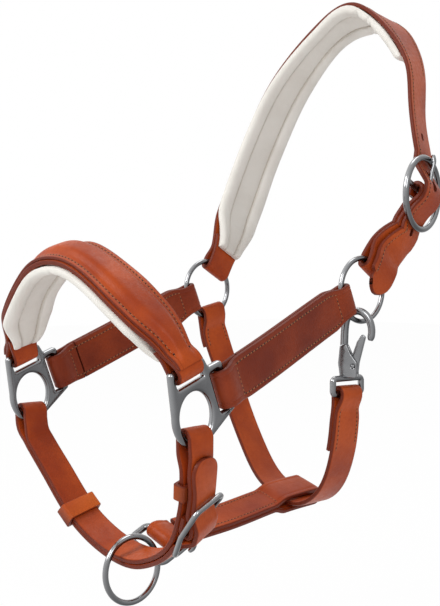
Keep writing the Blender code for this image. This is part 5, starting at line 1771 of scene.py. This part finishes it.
class HALTER_OT_buckles(bpy.types.Operator):
    """Crown buckle and chin buckle, each with its tongue"""

    bl_idname = "halter.buckles"
    bl_label = "Buckles"
    bl_options = {"REGISTER", "UNDO"}

    def execute(self, context):
        up, out, line = crown_axes()
        crown = bmesh.new()
        hoop(crown, CROWN_BAR_PLACE, out, CROWN_BUCKLE_RADIUS, CROWN_BUCKLE_WIRE)
        reach = line * CROWN_BUCKLE_RADIUS
        bar(crown, CROWN_BAR_PLACE - reach, CROWN_BAR_PLACE + reach, CROWN_BAR_WIRE)
        steel_piece("crown_buckle_round", crown, "halter", "crown_buckle_frame")
        pin = bmesh.new()
        rest = CROWN_BUCKLE_WIRE + TONGUE_WIRE + CROWN_TONGUE_CLEAR
        tongue(pin, CROWN_BAR_PLACE, up, out, CROWN_BAR_WIRE, CROWN_BUCKLE_RADIUS, rest)
        steel_piece("crown_tongue_wire", pin, "crown_tongue", "crown_buckle_tongue")

        route, _, bar_height, near_outer, _ = chin_lines()

        def rim(s, across):
            return chin_rim(route, bar_height, near_outer, s, across)

        corners = [
            (CHIN_BAR_AT + a * CHIN_BUCKLE_REACH, b * CHIN_BUCKLE_HALF, radius)
            for a, b, radius in (
                (-1, -1, 4.5), (0, -1, 0.0), (1, -1, 4.5), (1, 1, 4.5), (0, 1, 0.0), (-1, 1, 4.5))]
        loop = [rim(s, across) for s, across in rounded(corners, True)]
        bar_middle, _, across, normal = route.frame(CHIN_BAR_AT)
        bar_middle = bar_middle + normal * bar_height
        chin = bmesh.new()
        closed_wire(chin, loop, CHIN_WIRE, normal)
        reach = across * CHIN_BUCKLE_HALF
        bar(chin, bar_middle - reach, bar_middle + reach, CHIN_WIRE * 0.95)
        steel_piece("chin_buckle_wire", chin, "halter", "chin_buckle_frame")
        rest = CHIN_WIRE + TONGUE_WIRE + CHIN_TONGUE_CLEAR
        lower_rim = rim(CHIN_BAR_AT + CHIN_BUCKLE_REACH, 0.0) - bar_middle
        toward = (lower_rim - across * lower_rim.dot(across)).normalized()
        lift_side = (normal - toward * normal.dot(toward)).normalized()
        pin = bmesh.new()
        tongue(pin, bar_middle, toward, lift_side, CHIN_WIRE, lower_rim.length, rest)
        steel_piece("chin_tongue_wire", pin, "chin_tongue", "chin_buckle_tongue")
        return {"FINISHED"}


def snap_place(across, up, height=0.0):
    """A place in the snap hook's own plane: across it, up, and out of the plane."""
    a = Vector((math.sin(SNAP_TURN), math.cos(SNAP_TURN), 0.0))
    n = Vector((math.cos(SNAP_TURN), -math.sin(SNAP_TURN), 0.0))
    return SNAP_PLACE + a * across + n * height + Vector((0.0, 0.0, up))


class HALTER_OT_snap(bpy.types.Operator):
    """Throat snap: cast body with hook and eye, sprung gate, its pin and its spring"""

    bl_idname = "halter.snap"
    bl_label = "Throat snap"
    bl_options = {"REGISTER", "UNDO"}

    def execute(self, context):
        body = bmesh.new()
        half = SNAP_BODY_THICK / 2
        slot_half = GATE_THICK / 2 + 0.3
        bore = oval(GATE_PIVOT, (PIN_RADIUS + 0.1, PIN_RADIUS + 0.1), 0.0, 345.0, 23)
        cheek = [
            (-10.8, 10.6, 1.6), (-12.0, 19.5, 6.0), (-10.8, 31.5, 2.0), (-6.8, 31.5, 1.8),
            (-4.0, 25.5, 3.0), (0.0, 20.0, 2.6), (-0.2, 10.6, 1.6)]
        root = [(-10.6, 10.8, 1.4), (-11.0, 13.1, 0.6), (-0.3, 13.1, 0.6), (-0.3, 10.8, 1.0)]
        back = [
            (-10.6, 12.0, 0.6), (-11.6, 19.5, 5.5), (-10.6, 31.0, 1.6), (-7.0, 31.0, 1.2),
            (-7.0, 12.0, 0.6)]
        for corners, holes, low, high, rounding in (
                (cheek, [bore], slot_half, half, 0.75), (cheek, [bore], -half, -slot_half, 0.75),
                (root, [], -half + 0.3, half - 0.3, 0.7), (back, [], -half + 0.5, half - 0.5, 0.7)):
            plate(body, rounded(corners, True, 10.0), holes, low, high, rounding, snap_place)
        hook_line = flat_curve([
            (-9.2, 22.0), (-8.7, 33.0), (-8.0, 43.5), (-6.2, 48.8), (-1.0, 51.9),
            (4.4, 49.8), (7.6, 44.5), (8.4, 39.0), (7.6, 33.8)], 0.9)
        hook_points = [snap_place(a, b) for a, b in hook_line]
        count = len(hook_points)
        radii = [SNAP_WIRE * (1.12 - 0.12 * i / count) for i in range(count)]
        for i, part in enumerate((0.94, 0.83, 0.6)):
            radii[count - 3 + i] = SNAP_WIRE * part
        flat_side = snap_place(0.0, 0.0, 1.0) - snap_place(0.0, 0.0)
        tube(body, wire_rings(hook_points, radii, False, 20, flat_side))
        eye_corners = [
            (a, b, 2.2) for a, b in (
                (-EYE_HALF, 0.0), (EYE_HALF, 0.0), (EYE_HALF, EYE_HEIGHT), (-EYE_HALF, EYE_HEIGHT))]
        eye_points = [EYE_PLACE + Vector((0.0, a, b)) for a, b in rounded(eye_corners, True)]
        closed_wire(body, eye_points, EYE_WIRE, Vector((1.0, 0.0, 0.0)))
        steel_piece("snap_casting", body, "snap", "snap_body", 50.0)

        gate = bmesh.new()
        gate_corners = [
            (-5.2, 14.2, 1.6), (0.2, 13.8, 1.6), (0.9, 20.0, 2.0), (4.9, 36.0, 1.2),
            (2.6, 38.0, 1.2), (-0.6, 33.0, 3.0), (-4.9, 20.5, 3.0)]
        plate(
            gate, rounded(gate_corners, True, 10.0), [bore], -GATE_THICK / 2, GATE_THICK / 2, 0.7,
            snap_place)
        steel_piece("snap_gate_lever", gate, "gate", "snap_gate", 50.0)

        pin = bmesh.new()
        reach = half + PIN_PROUD
        bar(pin, snap_place(*GATE_PIVOT, -reach), snap_place(*GATE_PIVOT, reach), PIN_RADIUS, 0.15)
        steel_piece("snap_pin_rivet", pin, "snap", "snap_gate_pin", 50.0)

        leaf_line = flat_curve([(-6.0, 29.5), (-6.0, 26.0), (-5.9, 23.5), (-5.6, 21.6)], 0.6)
        leaf = bmesh.new()
        section = oval((0.0, 0.0), LEAF_HALF, 0.0, 330.0, 11)
        tube(leaf, [[snap_place(a + y, b, x) for x, y in section] for a, b in leaf_line])
        steel_piece("snap_leaf_spring", leaf, "snap", "snap_spring", 50.0)
        return {"FINISHED"}


def lamp(name, place, watts, width):
    """A square soft lamp aimed at the middle of the halter."""
    light = bpy.data.lights.new(name, "AREA")
    light.energy = watts
    light.size = width
    item = bpy.data.objects.new(name, light)
    item.location = place
    item.rotation_euler = (Vector(LAMP_TARGET) - Vector(place)).to_track_quat("-Z", "Y").to_euler()
    bpy.context.scene.collection.objects.link(item)


def seen_directly(tree):
    """One where a ray comes from the camera, from a reflection or through glass."""
    path = tree.nodes.new("ShaderNodeLightPath")
    seen = path.outputs["Is Camera Ray"]
    for ray in ("Is Glossy Ray", "Is Transmission Ray"):
        either = add_node(tree, "ShaderNodeMath", {}, operation="MAXIMUM")
        link(tree, seen, either.inputs[0])
        link(tree, path.outputs[ray], either.inputs[1])
        seen = either.outputs[0]
    return seen


class HALTER_OT_stage(bpy.types.Operator):
    """Pale floor and backdrop, studio lamps and the camera"""

    bl_idname = "halter.stage"
    bl_label = "Stage"
    bl_options = {"REGISTER", "UNDO"}

    def execute(self, context):
        look = context.scene.halter_stage
        mesh_data = bmesh.new()
        place = Matrix.Translation((0.0, 0.0, FLOOR_HEIGHT))
        bmesh.ops.create_grid(mesh_data, x_segments=8, y_segments=8, size=4.0, matrix=place)
        mesh = bpy.data.meshes.new("floor")
        mesh_data.to_mesh(mesh)
        mesh_data.free()
        floor = bpy.data.objects.new("floor", mesh)
        context.scene.collection.objects.link(floor)
        made, tree, shader = nodes_of("floor_paper")
        set_inputs(shader, {
            "Base Color": (*look.floor, 1.0), "Roughness": 0.9, "Specular IOR Level": 0.0})
        glow = tree.nodes.new("ShaderNodeEmission")
        part = add_node(tree, "ShaderNodeMath", {1: FLOOR_GLOW}, operation="MULTIPLY")
        link(tree, seen_directly(tree), part.inputs[0])
        blended = tree.nodes.new("ShaderNodeMixShader")
        link(tree, part.outputs[0], blended.inputs["Fac"])
        link(tree, shader.outputs["BSDF"], blended.inputs[1])
        link(tree, glow.outputs["Emission"], blended.inputs[2])
        link(tree, blended.outputs["Shader"], tree.nodes["Material Output"].inputs["Surface"])
        mesh.materials.append(made)

        world = bpy.data.worlds.new("studio")
        context.scene.world = world
        world.use_nodes = True
        tree = world.node_tree
        back = tree.nodes["Background"]
        set_inputs(back, {"Color": (1.0, 1.0, 1.0, 1.0)})
        strength = spread(tree, seen_directly(tree), 0.0, 1.0, look.ambient, 1.0)
        link(tree, strength, back.inputs["Strength"])

        lamp("key_lamp", (-0.45, -1.35, 0.70), look.key, 0.7)
        lamp("fill_lamp", (1.05, -0.85, 0.45), look.fill, 0.6)
        lamp("top_lamp", (-0.2, 0.35, 1.25), look.top, 0.8)

        camera = bpy.data.cameras.new("photo_camera")
        camera.lens = CAMERA_LENS
        camera.sensor_width = CAMERA_SENSOR
        camera.sensor_fit = "AUTO"
        camera.clip_start = 0.01
        item = bpy.data.objects.new("photo_camera", camera)
        item.location = CAMERA_PLACE
        item.rotation_euler = (math.pi / 2 - CAMERA_RISE, 0.0, CAMERA_TURN)
        context.scene.collection.objects.link(item)
        context.scene.camera = item
        context.scene.view_settings.view_transform = "Standard"
        return {"FINISHED"}


class HALTER_PT_panel(bpy.types.Panel):
    """Sizes, colours and pieces of the halter"""

    bl_idname = "HALTER_PT_panel"
    bl_label = "Leather halter"
    bl_space_type = "VIEW_3D"
    bl_region_type = "UI"
    bl_category = "Halter"

    def draw(self, context):
        for group, cls in SETTINGS:
            box = self.layout.box()
            box.label(text=cls.__doc__)
            for name in cls.__annotations__:
                box.prop(getattr(context.scene, group), name)
        for cls in PIECES:
            self.layout.operator(cls.bl_idname)


SETTINGS = (
    ("halter_leather", HalterLeather),
    ("halter_thread", HalterThread),
    ("halter_lining", HalterLining),
    ("halter_steel", HalterSteel),
    ("halter_stage", HalterStage),
)
PIECES = (
    HALTER_OT_stage, HALTER_OT_fittings, HALTER_OT_rings, HALTER_OT_noseband, HALTER_OT_cheeks,
    HALTER_OT_crown, HALTER_OT_throat, HALTER_OT_chin, HALTER_OT_buckles, HALTER_OT_snap,
)


def register():
    """Add the settings, the operators and the panel."""
    for name, cls in SETTINGS:
        bpy.utils.register_class(cls)
        setattr(bpy.types.Scene, name, bpy.props.PointerProperty(type=cls))
    for cls in PIECES:
        bpy.utils.register_class(cls)
    bpy.utils.register_class(HALTER_PT_panel)


def unregister():
    """Take them away again."""
    bpy.utils.unregister_class(HALTER_PT_panel)
    for cls in reversed(PIECES):
        bpy.utils.unregister_class(cls)
    for name, cls in reversed(SETTINGS):
        delattr(bpy.types.Scene, name)
        bpy.utils.unregister_class(cls)


def main():
    """Make every piece."""
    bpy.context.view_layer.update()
    register()
    for cls in PIECES:
        group, name = cls.bl_idname.split(".")
        getattr(getattr(bpy.ops, group), name)()


if __name__ == "__main__":
    main()
